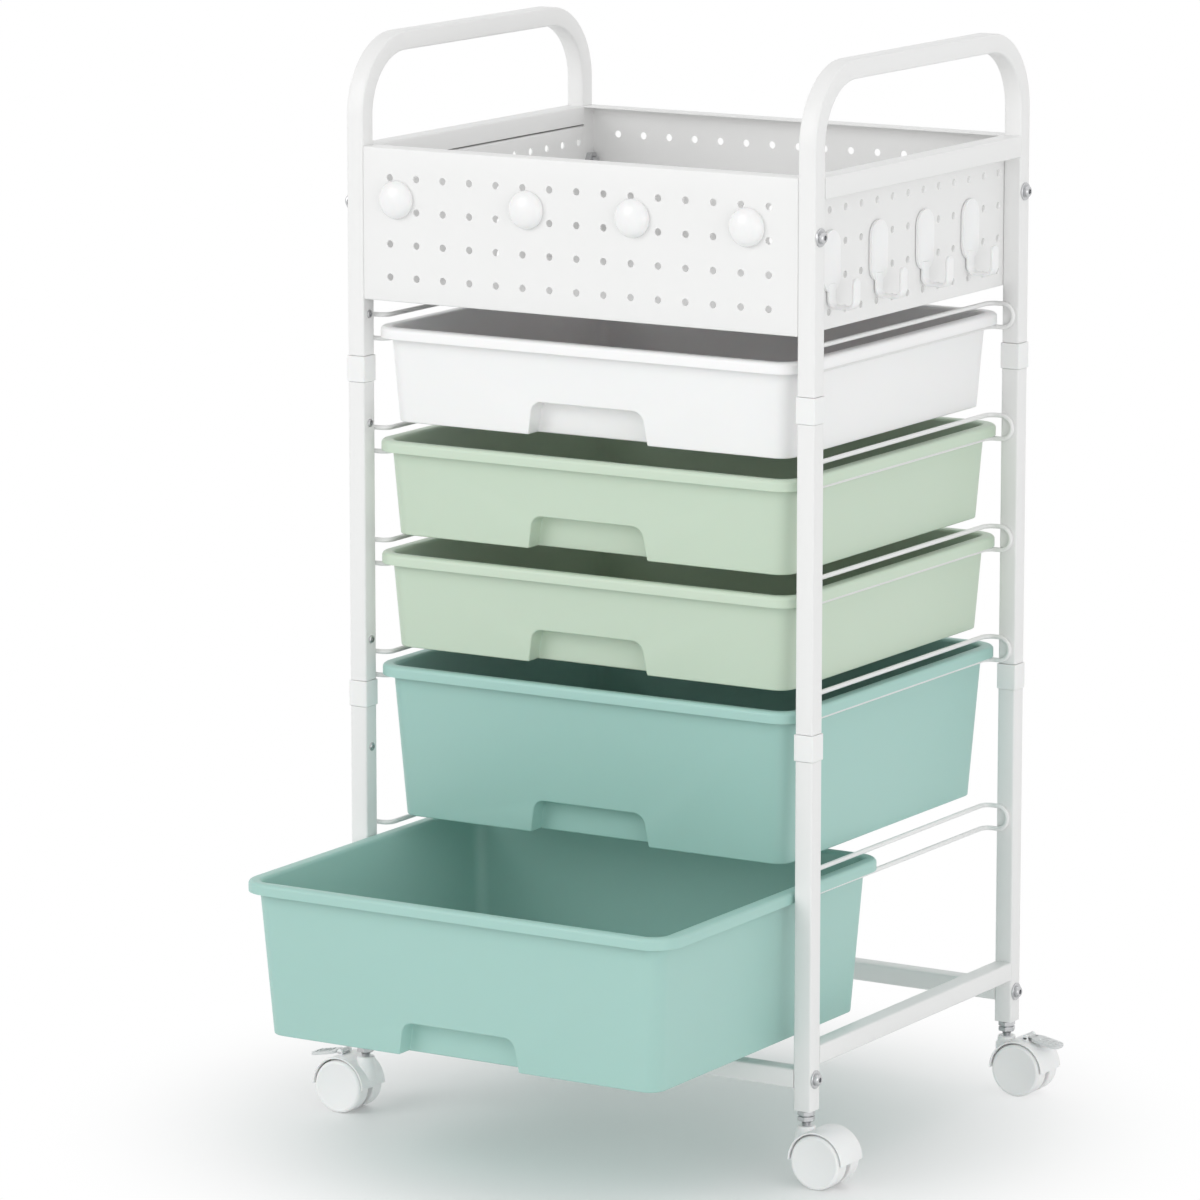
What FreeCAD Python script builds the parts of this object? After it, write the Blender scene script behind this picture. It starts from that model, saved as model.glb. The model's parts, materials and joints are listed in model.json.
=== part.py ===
"""Rolling storage cart: welded steel frame, pegboard tray, five drawers on wire rails, four casters.

Frame of reference: origin on the floor under the middle of the whole cart, its lowest drawer
pulled out, +X to the right as seen from the drawer fronts, +Y to the rear, +Z up. Millimetres.
"""
import FreeCAD, Part
import math
import os

import Sketcher
from FreeCAD import Placement, Rotation, Vector

os.makedirs("parts", exist_ok=True)
doc = FreeCAD.newDocument("rolling_cart")
sheet = doc.addObject("Spreadsheet::Sheet", "sizes")

# Driving sizes
SIZES = {
    # Posts and handle loops, square tube
    "frame_width": 442.5,
    "frame_depth": 360.2,
    "frame_height": 907.6,
    "floor_to_post": 61.2,
    "post_width": 16.0,
    "tube_wall": 1.2,
    "loop_radius": 66.0,
    # Plastic connectors between the tube sections
    "lower_collar_height": 360.5,
    "upper_collar_height": 633.5,
    "collar_length": 22.2,
    "collar_proud": 0.9,
    "plug_reach": 52.0,
    "plug_clearance": 0.15,
    "lock_screw_offset": 45.5,
    "lock_screw_head": 7.0,
    "lock_screw_head_height": 1.6,
    "lock_screw_shank": 4.0,
    "lock_screw_length": 7.0,
    "shank_clearance": 0.15,
    # Base beams
    "front_beam_lift": 18.0,
    "side_beam_lift": 36.5,
    # Frame bolts and what they screw into
    "bolt_shank": 6.0,
    "bolt_reach": 12.0,
    "bolt_head": 10.0,
    "bolt_head_height": 3.2,
    "washer_width": 15.0,
    "washer_thickness": 1.4,
    "insert_length": 20.0,
    "weld_nut_width": 12.0,
    "weld_nut_height": 5.0,
    # Pegboard tray
    "tray_bottom_height": 692.1,
    "tray_height": 126.4,
    "sheet_thickness": 1.2,
    "floor_clearance": 0.3,
    "top_rail_height": 18.0,
    "tray_bolt_lift": 79.4,
    "hole_width": 6.2,
    "front_hole_pitch": 25.56,
    "side_hole_pitch": 25.83,
    "hole_row_pitch": 27.3,
    "front_bottom_row": 20.2,
    "side_bottom_row": 13.8,
    # Wire rails
    "top_rail_level": 667.5,
    "shallow_pitch": 94.4,
    "deep_pitch": 145.3,
    "wire_width": 4.0,
    "wire_spacing": 19.8,
    "rail_inset": 10.25,
    "rail_bend": 8.0,
    "rail_end_overlap": 13.75,
    # Drawers
    "rim_side_gap": 2.75,
    "rim_front_inset": 3.6,
    "rim_rear_inset": 0.6,
    "rim_radius": 25.0,
    "rim_lift": 0.4,
    "rim_height": 9.2,
    "flange_thickness": 2.2,
    "lip_thickness": 1.8,
    "runner_clearance": 0.1,
    "runner_thickness": 1.6,
    "wall_thickness": 2.0,
    "wire_gap": 0.7,
    "front_overhang": 8.5,
    "rear_overhang": 10.0,
    "tub_radius": 14.0,
    "tub_taper": 0.062,
    "shallow_drawer_gap": 14.8,
    "deep_drawer_gap": 16.4,
    "open_drawer_pull": 200.0,
    "grip_width": 113.0,
    "grip_top_width": 104.0,
    "grip_height": 27.5,
    "grip_depth": 15.0,
    "grip_radius": 8.0,
    # Magnets on the front panel
    "magnet_width": 31.5,
    "magnet_height": 10.0,
    "magnet_edge": 3.0,
    "magnet_lift": 84.5,
    # Peg hooks on the right panel
    "hook_plate_width": 27.0,
    "hook_plate_height": 50.0,
    "hook_plate_thickness": 3.0,
    "hook_corner": 12.0,
    "hook_reach": 26.0,
    "hook_strip_width": 10.0,
    "hook_strip_thickness": 2.8,
    "hook_drop": 13.0,
    "hook_tip_rise": 24.0,
    "hook_bend": 8.0,
    "peg_width": 4.8,
    "peg_reach": 3.0,
    # Casters
    "wheel_diameter": 45.0,
    "wheel_width": 14.2,
    "wheel_edge": 2.0,
    "hub_cap": 2.6,
    "axle_diameter": 6.0,
    "axle_clearance": 0.05,
    "axle_end_gap": 0.6,
    "web_thickness": 6.8,
    "web_gap": 0.3,
    "fender_gap": 0.6,
    "fender_thickness": 2.2,
    "fender_inset": 0.4,
    "hub_boss": 15.0,
    "caster_trail": 17.5,
    "neck_diameter": 15.5,
    "neck_height": 48.2,
    "stem_diameter": 8.0,
    "stem_socket": 4.6,
    "pintle_diameter": 4.4,
    "pintle_socket": 14.0,
    "swivel_clearance": 0.05,
    "nut_width": 13.0,
    "nut_height": 4.7,
    # Brake pedals
    "pedal_pivot_out": 4.0,
    "pedal_pivot_rise": 27.8,
    "pedal_length": 32.0,
    "pedal_width": 18.0,
    "pedal_thickness": 2.4,
    "pedal_slope": 11.0,
    "barrel_diameter": 4.6,
    "barrel_width": 9.6,
    "pivot_pin": 2.4,
    "lug_thickness": 2.6,
    "lug_gap": 0.3,
}

# Counts
FRONT_COLUMNS = 15
SIDE_COLUMNS = 13
HOLE_ROWS = 4

# Flats that stand for a round form, fewer where a piece repeats
HOLE_SIDES = 6
WIRE_SIDES = 6
FASTENER_SIDES = 6
WASHER_SIDES = 12
MAGNET_SIDES = 16
WHEEL_SIDES = 24
HUB_SIDES = 12
CORNER_FACES = 3
LOOP_FACES = 6
ELBOW_FACES = 1
HALF_TURN_FACES = 4

for row, (alias, value) in enumerate(SIZES.items(), start=1):
    sheet.set(f"A{row}", alias)
    sheet.set(f"B{row}", str(value))
    sheet.setAlias(f"B{row}", alias)
doc.recompute()


class Size:
    """A length kept as an expression of the sheet, so that a feature can be bound to it."""

    def __init__(self, text):
        self.text = str(text)

    def __str__(self):
        return self.text

    def __float__(self):
        return float(sheet.evalExpression(self.text))

    def __add__(self, other):
        return Size(f"({self} + {other})")

    def __radd__(self, other):
        return Size(f"({other} + {self})")

    def __sub__(self, other):
        return Size(f"({self} - {other})")

    def __rsub__(self, other):
        return Size(f"({other} - {self})")

    def __mul__(self, other):
        return Size(f"({self} * {other})")

    __rmul__ = __mul__

    def __truediv__(self, other):
        return Size(f"({self} / {other})")

    def __neg__(self):
        return Size(f"(0 - {self})")


class Sizes:
    """Gives each alias of the sheet as a Size."""

    def __getattr__(self, alias):
        return Size("sizes." + alias)


mm = Sizes()
subparts = []

# Places worked out from the driving sizes
half_width = mm.frame_width / 2
half_depth = mm.frame_depth / 2
post_x = half_width - mm.post_width / 2
post_y = half_depth - mm.post_width / 2
inner_x = half_width - mm.post_width
inner_y = half_depth - mm.post_width
tube_bore = mm.post_width - 2 * mm.tube_wall
plug_width = tube_bore - 2 * mm.plug_clearance
rail_x = inner_x - mm.rail_inset
wire_radius = mm.wire_width / 2
rim_front = mm.rim_front_inset - half_depth
rim_rear = half_depth - mm.rim_rear_inset
web_face = mm.web_thickness / 2 + mm.web_gap
caster_width = 2 * (web_face + mm.wheel_width)
cart_front = rim_front - mm.open_drawer_pull
cart_rear = post_y + caster_width / 2
cart_middle = (cart_front + cart_rear) / 2
rail_levels = [
    mm.top_rail_level,
    mm.top_rail_level - mm.shallow_pitch,
    mm.top_rail_level - 2 * mm.shallow_pitch,
    mm.top_rail_level - 3 * mm.shallow_pitch,
    mm.top_rail_level - 3 * mm.shallow_pitch - mm.deep_pitch,
]
SIDES = {"left": -1, "right": 1}
CORNERS = {
    "front_left": (-1, -1),
    "front_right": (1, -1),
    "rear_left": (-1, 1),
    "rear_right": (1, 1),
}


def bind(thing, prop, value):
    """Ties a property to a Size, or sets it where the value is a plain number."""
    if isinstance(value, Size):
        thing.setExpression(prop, str(value))
    else:
        setattr(thing, prop, value)


def locate(thing, x=0, y=0, z=0, rotation=None):
    """Places a feature in its sub-part's own frame, each coordinate tied to the sheet."""
    thing.Placement = Placement(Vector(0, 0, 0), rotation or Rotation())
    for axis, value in zip("xyz", (x, y, z)):
        if isinstance(value, Size):
            thing.setExpression(f"Placement.Base.{axis}", str(value))
        elif value:
            setattr(thing.Placement.Base, axis, value)
    return thing


def put(thing, x=0, y=0, z=0, rotation=None):
    """Places a sub-part by its distance from the middle of the steel frame."""
    return locate(thing, x, y - cart_middle, z, rotation)


def facing(side):
    """Turns a piece's Z axis to one side along X and leaves its Y axis up."""
    return Rotation(Vector(0, side, 0), Vector(0, 0, 1), Vector(side, 0, 0))


def keep(thing, label):
    """Names a finished sub-part, which gives its file's name."""
    thing.Label = label
    subparts.append(thing)
    return thing


def new_body(name):
    body = doc.addObject("PartDesign::Body", name)
    return body


def origin_feature(body, role):
    return next(f for f in body.Origin.OriginFeatures if f.Role == role)


def sketch_on(body, plane, offset=None):
    """A sketch on one of the body's own origin planes, raised along its normal by the offset."""
    sketch = body.newObject("Sketcher::SketchObject", body.Name + "_sketch")
    sketch.AttachmentSupport = (origin_feature(body, plane), [""])
    sketch.MapMode = "FlatFace"
    if offset is not None:
        sketch.setExpression("AttachmentOffset.Base.z", str(offset))
    return sketch


def hold(sketch, kind, arguments, value):
    """Adds a dimension to a sketch and ties it to its Size."""
    index = sketch.addConstraint(Sketcher.Constraint(kind, *arguments, float(value)))
    if isinstance(value, Size):
        sketch.setExpression(f"Constraints[{index}]", str(value))


def rounded(corners, faces):
    """Puts short flats, whose ends lie on the rounding, in place of each corner (x, y, radius)."""
    places = [Vector(float(corner[0]), float(corner[1]), 0) for corner in corners]
    points = []
    for index, corner in enumerate(corners):
        if len(corner) == 2:
            points.append(corner)
            continue
        x, y, radius = corner
        back = (places[index - 1] - places[index]).normalize()
        ahead = (places[(index + 1) % len(corners)] - places[index]).normalize()
        half_angle = back.getAngle(ahead) / 2
        centre = (back + ahead).normalize() / math.sin(half_angle)
        arrive = back / math.tan(half_angle) - centre
        leave = ahead / math.tan(half_angle) - centre
        for spot in turn(arrive, leave, faces):
            spot += centre
            points.append((x + spot.x * radius, y + spot.y * radius))
    return points


def turn(start, end, faces):
    """Directions from one to the other in equal steps, both ends among them."""
    angle = start.getAngle(end)
    side = (end - start * start.dot(end)).normalize()
    steps = [angle * step / faces for step in range(faces + 1)]
    return [start * math.cos(step) + side * math.sin(step) for step in steps]


def outline(sketch, corners, faces=CORNER_FACES):
    """A closed outline through corners (x, y) or, where one is rounded, (x, y, radius)."""
    corners = rounded(corners, faces)
    points = [Vector(float(x), float(y), 0) for x, y in corners]
    lines = []
    for index, point in enumerate(points):
        ahead = points[(index + 1) % len(points)]
        lines.append(sketch.addGeometry(Part.LineSegment(point, ahead), False))
    for index, (x, y) in enumerate(corners):
        before = lines[index - 1]
        after = lines[index]
        sketch.addConstraint(Sketcher.Constraint("Coincident", before, 2, after, 1))
        hold(sketch, "DistanceX", (-1, 1, after, 1), x)
        hold(sketch, "DistanceY", (-1, 1, after, 1), y)


def rectangle(sketch, low_x, low_y, high_x, high_y, radius=None):
    """A rectangle between two corners, its own corners rounded where a radius is given."""
    corners = [(low_x, low_y), (high_x, low_y), (high_x, high_y), (low_x, high_y)]
    if radius is not None:
        corners = [(x, y, radius) for x, y in corners]
    outline(sketch, corners)


def square(sketch, width, x=Size("0"), y=Size("0")):
    rectangle(sketch, x - width / 2, y - width / 2, x + width / 2, y + width / 2)


def polygon(sketch, width, sides, x=Size("0"), y=Size("0")):
    """A regular polygon of the given width across its flats, with a flat at the bottom."""
    reach = width / (2 * math.cos(math.pi / sides))
    corners = []
    for step in range(sides):
        angle = 2 * math.pi * (step + 0.5) / sides - math.pi / 2
        corners.append((x + reach * math.cos(angle), y + reach * math.sin(angle)))
    outline(sketch, corners)


def circle(sketch, diameter, x=0.0, y=0.0):
    centre = Vector(float(x), float(y), 0)
    ring = Part.Circle(centre, Vector(0, 0, 1), float(diameter) / 2)
    index = sketch.addGeometry(ring, False)
    hold(sketch, "DistanceX", (-1, 1, index, 3), x)
    hold(sketch, "DistanceY", (-1, 1, index, 3), y)
    hold(sketch, "Diameter", (index,), diameter)


def pad(body, sketch, length, symmetric=False, flipped=False):
    feature = body.newObject("PartDesign::Pad", body.Name + "_pad")
    feature.Profile = sketch
    bind(feature, "Length", length)
    feature.SideType = "Symmetric" if symmetric else "One side"
    feature.Reversed = flipped
    body.Tip = feature
    return feature


def pocket(body, sketch, length=None, symmetric=False, flipped=False):
    """Cuts against the sketch's normal, or right through where no length is given."""
    feature = body.newObject("PartDesign::Pocket", body.Name + "_pocket")
    feature.Profile = sketch
    if length is None:
        feature.Type = "ThroughAll"
    else:
        feature.Type = "Length"
        bind(feature, "Length", length)
    feature.SideType = "Symmetric" if symmetric else "One side"
    feature.Reversed = flipped
    body.Tip = feature
    return feature


def loft(body, low, high, subtract=False):
    kind = "PartDesign::SubtractiveLoft" if subtract else "PartDesign::AdditiveLoft"
    feature = body.newObject(kind, body.Name + "_loft")
    feature.Profile = low
    feature.Sections = [high]
    feature.Ruled = True
    body.Tip = feature
    return feature


def chamfer_top(body, feature, width):
    """Chamfers a pad all round its highest face."""
    doc.recompute()
    heights = [face.CenterOfMass.z for face in feature.Shape.Faces]
    top = heights.index(max(heights)) + 1
    chamfer = body.newObject("PartDesign::Chamfer", body.Name + "_chamfer")
    chamfer.Base = (feature, [f"Face{top}"])
    bind(chamfer, "Size", width)
    body.Tip = chamfer


def grid(body, original, axis, pitch, columns, row_pitch, rows):
    """Repeats a cut along one axis and up."""
    feature = body.newObject("PartDesign::LinearPattern", body.Name + "_grid")
    feature.Originals = [original]
    feature.Direction = (origin_feature(body, axis), [""])
    bind(feature, "Length", pitch * (columns - 1))
    feature.Occurrences = columns
    feature.Direction2 = (origin_feature(body, "Z_Axis"), [""])
    bind(feature, "Length2", row_pitch * (rows - 1))
    feature.Occurrences2 = rows
    body.Tip = feature
    return feature


def group(label, pieces):
    """Alike loose pieces kept together as separate solids of one sub-part."""
    compound = doc.addObject("Part::Compound", label + "_group")
    compound.Links = pieces
    return keep(compound, label)


# Square tube
def tube_body(name, length):
    """A square tube along Z, from its lower end up."""
    body = new_body(name)
    section = sketch_on(body, "XY_Plane")
    square(section, mm.post_width)
    square(section, tube_bore)
    pad(body, section, length)
    return body


def side_hole(body, side, height):
    """A screw hole through the tube wall that faces the middle of the cart."""
    sketch = sketch_on(body, "YZ_Plane")
    polygon(sketch, mm.lock_screw_shank + 2 * mm.shank_clearance, FASTENER_SIDES, y=height)
    pocket(body, sketch, mm.post_width, flipped=side < 0)


def cross_hole(body, height, y=Size("0")):
    """A bolt hole right through the tube along X."""
    sketch = sketch_on(body, "YZ_Plane")
    polygon(sketch, mm.bolt_shank + 2 * mm.shank_clearance, FASTENER_SIDES, x=y, y=height)
    pocket(body, sketch, symmetric=True)


lower_length = mm.lower_collar_height - mm.collar_length / 2 - mm.floor_to_post
middle_bottom = mm.lower_collar_height + mm.collar_length / 2
middle_length = mm.upper_collar_height - mm.collar_length / 2 - middle_bottom
loop_bottom = mm.upper_collar_height + mm.collar_length / 2


def lower_post(corner, side, end):
    """Bottom section of a post, with the base bolt's hole and the upper screw hole."""
    body = tube_body("lower_post_" + corner, lower_length)
    side_hole(body, side, mm.lower_collar_height - mm.lock_screw_offset - mm.floor_to_post)
    cross_hole(body, mm.front_beam_lift + mm.post_width / 2)
    put(body, side * post_x, end * post_y, mm.floor_to_post)
    keep(body, "lower_post_" + corner)


def middle_post(corner, side, end):
    """Middle section of a post, screwed to a connector at both ends."""
    body = tube_body("middle_post_" + corner, middle_length)
    side_hole(body, side, mm.lower_collar_height + mm.lock_screw_offset - middle_bottom)
    side_hole(body, side, mm.upper_collar_height - mm.lock_screw_offset - middle_bottom)
    put(body, side * post_x, end * post_y, middle_bottom)
    keep(body, "middle_post_" + corner)


def handle_loop(name, side):
    """Inverted U of square tube: the tops of two posts and the handle between them."""
    body = new_body(name)
    outer = sketch_on(body, "YZ_Plane")
    top = mm.frame_height - loop_bottom
    u_outline(outer, half_depth, Size("0"), top, mm.loop_radius, mm.post_width)
    pad(body, outer, mm.post_width, symmetric=True)
    bore = sketch_on(body, "YZ_Plane")
    wall = mm.tube_wall
    u_outline(bore, half_depth - wall, Size("0"), top - wall, mm.loop_radius - wall, tube_bore)
    pocket(body, bore, tube_bore, symmetric=True)
    for end in (-1, 1):
        screw_height = mm.upper_collar_height + mm.lock_screw_offset - loop_bottom
        sketch = sketch_on(body, "YZ_Plane")
        screw_width = mm.lock_screw_shank + 2 * mm.shank_clearance
        polygon(sketch, screw_width, FASTENER_SIDES, x=end * post_y, y=screw_height)
        pocket(body, sketch, mm.post_width, flipped=side < 0)
        cross_hole(body, mm.tray_bottom_height + mm.tray_bolt_lift - loop_bottom, end * post_y)
    put(body, side * post_x, 0, loop_bottom)
    keep(body, name)


def u_outline(sketch, half, low, top, radius, width):
    """Outline of an inverted U with its legs' outer faces at plus and minus half."""
    inner = half - width
    inner_radius = radius - width
    outline(sketch, [
        (-half, low),
        (-inner, low),
        (-inner, top - width, inner_radius),
        (inner, top - width, inner_radius),
        (inner, low),
        (half, low),
        (half, top, radius),
        (-half, top, radius),
    ], LOOP_FACES)


def connector(name, x, y, height, side):
    """Collar between two tube sections, with a plug that fills the end of each."""
    body = new_body(name)
    collar = sketch_on(body, "XY_Plane")
    square(collar, mm.post_width + 2 * mm.collar_proud)
    pad(body, collar, mm.collar_length, symmetric=True)
    plug = sketch_on(body, "XY_Plane")
    square(plug, plug_width)
    pad(body, plug, 2 * mm.plug_reach, symmetric=True)
    for up in (-1, 1):
        hole = sketch_on(body, "YZ_Plane")
        hole_width = mm.lock_screw_shank + 2 * mm.shank_clearance
        polygon(hole, hole_width, FASTENER_SIDES, y=up * mm.lock_screw_offset)
        pocket(body, hole, mm.post_width, flipped=side < 0)
    return put(body, x, y, height)


def lock_screw(name, side, y, height):
    """Pan-head screw from the inner side of a post into the connector's plug."""
    body = new_body(name)
    head = sketch_on(body, "XY_Plane")
    polygon(head, mm.lock_screw_head, FASTENER_SIDES)
    pad(body, head, mm.lock_screw_head_height)
    shank = sketch_on(body, "XY_Plane")
    polygon(shank, mm.lock_screw_shank, FASTENER_SIDES)
    pad(body, shank, mm.lock_screw_length, flipped=True)
    return put(body, side * inner_x, y, height, facing(-side))


def base_beams():
    """Front and rear beams between the posts, and a higher beam along each side."""
    along_x = Rotation(Vector(0, 1, 0), 90)
    along_y = Rotation(Vector(1, 0, 0), -90)
    low = mm.floor_to_post + mm.front_beam_lift + mm.post_width / 2
    high = mm.floor_to_post + mm.side_beam_lift + mm.post_width / 2
    for name, end in (("base_beam_front", -1), ("base_beam_rear", 1)):
        beam = tube_body(name, 2 * inner_x)
        put(beam, -inner_x, end * post_y, low, along_x)
        keep(beam, name)
    for side_name, side in SIDES.items():
        beam = tube_body("base_beam_" + side_name, 2 * inner_y)
        put(beam, side * post_x, -inner_y, high, along_y)
        keep(beam, "base_beam_" + side_name)


# Frame bolts and their seats
bolt_levels = {
    "base": mm.floor_to_post + mm.front_beam_lift + mm.post_width / 2,
    "tray": mm.tray_bottom_height + mm.tray_bolt_lift,
}


def frame_bolt(name, side, y, height):
    """Round-head bolt with its washer, through a post along X."""
    body = new_body(name)
    washer = sketch_on(body, "XY_Plane")
    polygon(washer, mm.washer_width, WASHER_SIDES)
    pad(body, washer, mm.washer_thickness)
    head = sketch_on(body, "XY_Plane")
    polygon(head, mm.bolt_head, WASHER_SIDES)
    pad(body, head, mm.washer_thickness + mm.bolt_head_height)
    shank = sketch_on(body, "XY_Plane")
    polygon(shank, mm.bolt_shank, FASTENER_SIDES)
    pad(body, shank, mm.post_width + mm.bolt_reach, flipped=True)
    return put(body, side * half_width, y, height, facing(side))


def threaded_plug(name, hole_width, clearance):
    """Square plug with a threaded hole, which fills the end of a tube."""
    body = new_body(name)
    section = sketch_on(body, "XY_Plane")
    square(section, plug_width)
    polygon(section, hole_width + 2 * clearance, FASTENER_SIDES)
    pad(body, section, mm.insert_length)
    return body


def threaded_inserts():
    """Plugs in the posts' feet and the low beams' ends, and nuts welded behind the tray panels."""
    pieces = []
    for corner, (side, end) in CORNERS.items():
        foot = threaded_plug("foot_plug_" + corner, mm.stem_diameter, mm.shank_clearance)
        pieces.append(put(foot, side * post_x, end * post_y, mm.floor_to_post))
        beam = threaded_plug("beam_plug_" + corner, mm.bolt_shank, mm.shank_clearance)
        inward = facing(-side)
        pieces.append(put(beam, side * inner_x, end * post_y, bolt_levels["base"], inward))
        nut = new_body("weld_nut_" + corner)
        section = sketch_on(nut, "XY_Plane")
        polygon(section, mm.weld_nut_width, 6)
        polygon(section, mm.bolt_shank + 2 * mm.shank_clearance, FASTENER_SIDES)
        pad(nut, section, mm.weld_nut_height)
        seat = side * (inner_x - mm.sheet_thickness)
        pieces.append(put(nut, seat, end * post_y, bolt_levels["tray"], inward))
    group("threaded_inserts", pieces)


# Pegboard tray
def hole_row(body, plane, axis, bottom_row, pitch, columns):
    """Grid of peg holes, laid out evenly about the middle of a panel."""
    first = sketch_on(body, plane)
    start = -(columns - 1) / 2 * pitch
    polygon(first, mm.hole_width, HOLE_SIDES, x=start, y=bottom_row)
    cut = pocket(body, first, 4 * mm.sheet_thickness, symmetric=True)
    grid(body, cut, axis, pitch, columns, mm.hole_row_pitch, HOLE_ROWS)


def end_panel(name, end):
    """Front or rear panel: a shallow pan of folded sheet between two posts, with peg holes."""
    body = new_body(name)
    blank = sketch_on(body, "XZ_Plane")
    rectangle(blank, -inner_x, Size("0"), inner_x, mm.tray_height)
    pad(body, blank, mm.post_width, flipped=True)
    hollow = sketch_on(body, "XZ_Plane", -mm.sheet_thickness)
    wall = mm.sheet_thickness
    rectangle(hollow, wall - inner_x, wall, inner_x - wall, mm.tray_height - wall)
    pocket(body, hollow, mm.post_width)
    bolt_hole = sketch_on(body, "YZ_Plane")
    bolt_width = mm.bolt_shank + 2 * mm.shank_clearance
    polygon(bolt_hole, bolt_width, FASTENER_SIDES, x=mm.post_width / 2, y=mm.tray_bolt_lift)
    pocket(body, bolt_hole, symmetric=True)
    hole_row(body, "XZ_Plane", "X_Axis", mm.front_bottom_row, mm.front_hole_pitch, FRONT_COLUMNS)
    turned = Rotation(Vector(0, 0, 1), 0 if end < 0 else 180)
    put(body, 0, end * half_depth, mm.tray_bottom_height, turned)
    keep(body, name)


def side_panel(name, side):
    """Side panel: sheet in line with the posts' inner faces, folded in below and out above."""
    body = new_body(name)
    wall = mm.sheet_thickness
    fold = mm.tray_height - mm.top_rail_height
    section = sketch_on(body, "XZ_Plane")
    outline(section, [
        (-side * mm.post_width, Size("0")),
        (Size("0"), Size("0")),
        (Size("0"), fold),
        (side * mm.post_width, fold),
        (side * mm.post_width, mm.tray_height),
        (-side * wall, mm.tray_height),
        (-side * wall, wall),
        (-side * mm.post_width, wall),
    ])
    low, high = sorted((0.0, float(side)))
    reach = mm.post_width - wall
    rectangle(section, low * reach, fold + wall, high * reach, mm.tray_height - wall)
    pad(body, section, 2 * inner_y, symmetric=True)
    hole_row(body, "YZ_Plane", "Y_Axis", mm.side_bottom_row, mm.side_hole_pitch, SIDE_COLUMNS)
    put(body, side * inner_x, 0, mm.tray_bottom_height)
    keep(body, name)


def tray_floor():
    """Sheet that lies on the panels' bottom flanges."""
    body = new_body("tray_floor")
    blank = sketch_on(body, "XY_Plane")
    inside_x = inner_x - mm.sheet_thickness - mm.floor_clearance
    inside_y = half_depth - mm.sheet_thickness - mm.floor_clearance
    rectangle(blank, -inside_x, -inside_y, inside_x, inside_y)
    pad(body, blank, mm.sheet_thickness)
    put(body, 0, 0, mm.tray_bottom_height + mm.sheet_thickness)
    keep(body, "tray_floor")


# Wire rails
def bend(centre, start, end, radius, faces):
    """Points of a bend about a centre, from one direction to the other, in equal chords."""
    return [centre + spot * radius for spot in turn(start, end, faces)]


def rail_wire(side):
    """Middle line of a closed wire loop: a pair of runs turned out at each end to meet the posts."""
    up = float(mm.wire_spacing) / 2
    run_x = float(rail_x)
    elbow = float(mm.rail_bend)
    end_y = float(inner_y) - float(wire_radius)
    nose_x = float(inner_x) + float(mm.rail_end_overlap) - float(wire_radius) - up
    x_axis = Vector(1, 0, 0)
    z_axis = Vector(0, 0, 1)
    path = []
    for end in (-1, 1):
        y_axis = Vector(0, end, 0)
        elbow_low = Vector(run_x + elbow, end * (end_y - elbow), -up)
        elbow_high = Vector(run_x + elbow, end * (end_y - elbow), up)
        nose = Vector(nose_x, end * end_y, 0)
        quarter = HALF_TURN_FACES // 2
        leg = bend(elbow_low, -x_axis, y_axis, elbow, ELBOW_FACES)
        leg += bend(nose, -z_axis, x_axis, up, quarter)[:-1]
        leg += bend(nose, x_axis, z_axis, up, quarter)
        leg += bend(elbow_high, y_axis, -x_axis, elbow, ELBOW_FACES)
        path += leg if end < 0 else leg[::-1]
    path = [Vector(side * point.x, point.y, point.z) for point in path]
    start = (path[-1] + path[0]) / 2
    return start, Part.makePolygon([start] + path + [start])


def rail(name, side, level):
    """Wire swept round its loop, with a flat above and below where the drawers run."""
    start, wire = rail_wire(side)
    section = []
    for step in range(WIRE_SIDES + 1):
        angle = 2 * math.pi * step / WIRE_SIDES
        section.append(start + Vector(math.cos(angle), 0, math.sin(angle)) * float(wire_radius))
    profile = Part.makePolygon(section)
    shell = Part.BRepOffsetAPI.MakePipeShell(wire)
    shell.setTransitionMode(1)
    shell.add(profile, False, False)
    shell.build()
    shell.makeSolid()
    piece = doc.addObject("Part::Feature", name)
    piece.Shape = shell.shape()
    put(piece, 0, 0, level)
    keep(piece, name)


# Drawers
wire_top = -mm.wire_spacing / 2 + wire_radius
rim_bottom = wire_top + mm.rim_lift
rim_top = rim_bottom + mm.rim_height
flange_bottom = rim_top - mm.flange_thickness
rim_x = inner_x - mm.rim_side_gap
tub_x = rail_x - wire_radius - mm.wire_gap
tub_front = rim_front + mm.front_overhang
tub_rear = rim_rear - mm.rear_overhang


def tub_section(body, height, drop, inset, radius):
    """Rounded rectangle of the tub at one height, drop below its top, inset from its outside."""
    sketch = sketch_on(body, "XY_Plane", height)
    shrink = mm.tub_taper * drop + inset
    rectangle(sketch, shrink - tub_x, tub_front + shrink, tub_x - shrink, tub_rear - shrink, radius)
    return sketch


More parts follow.
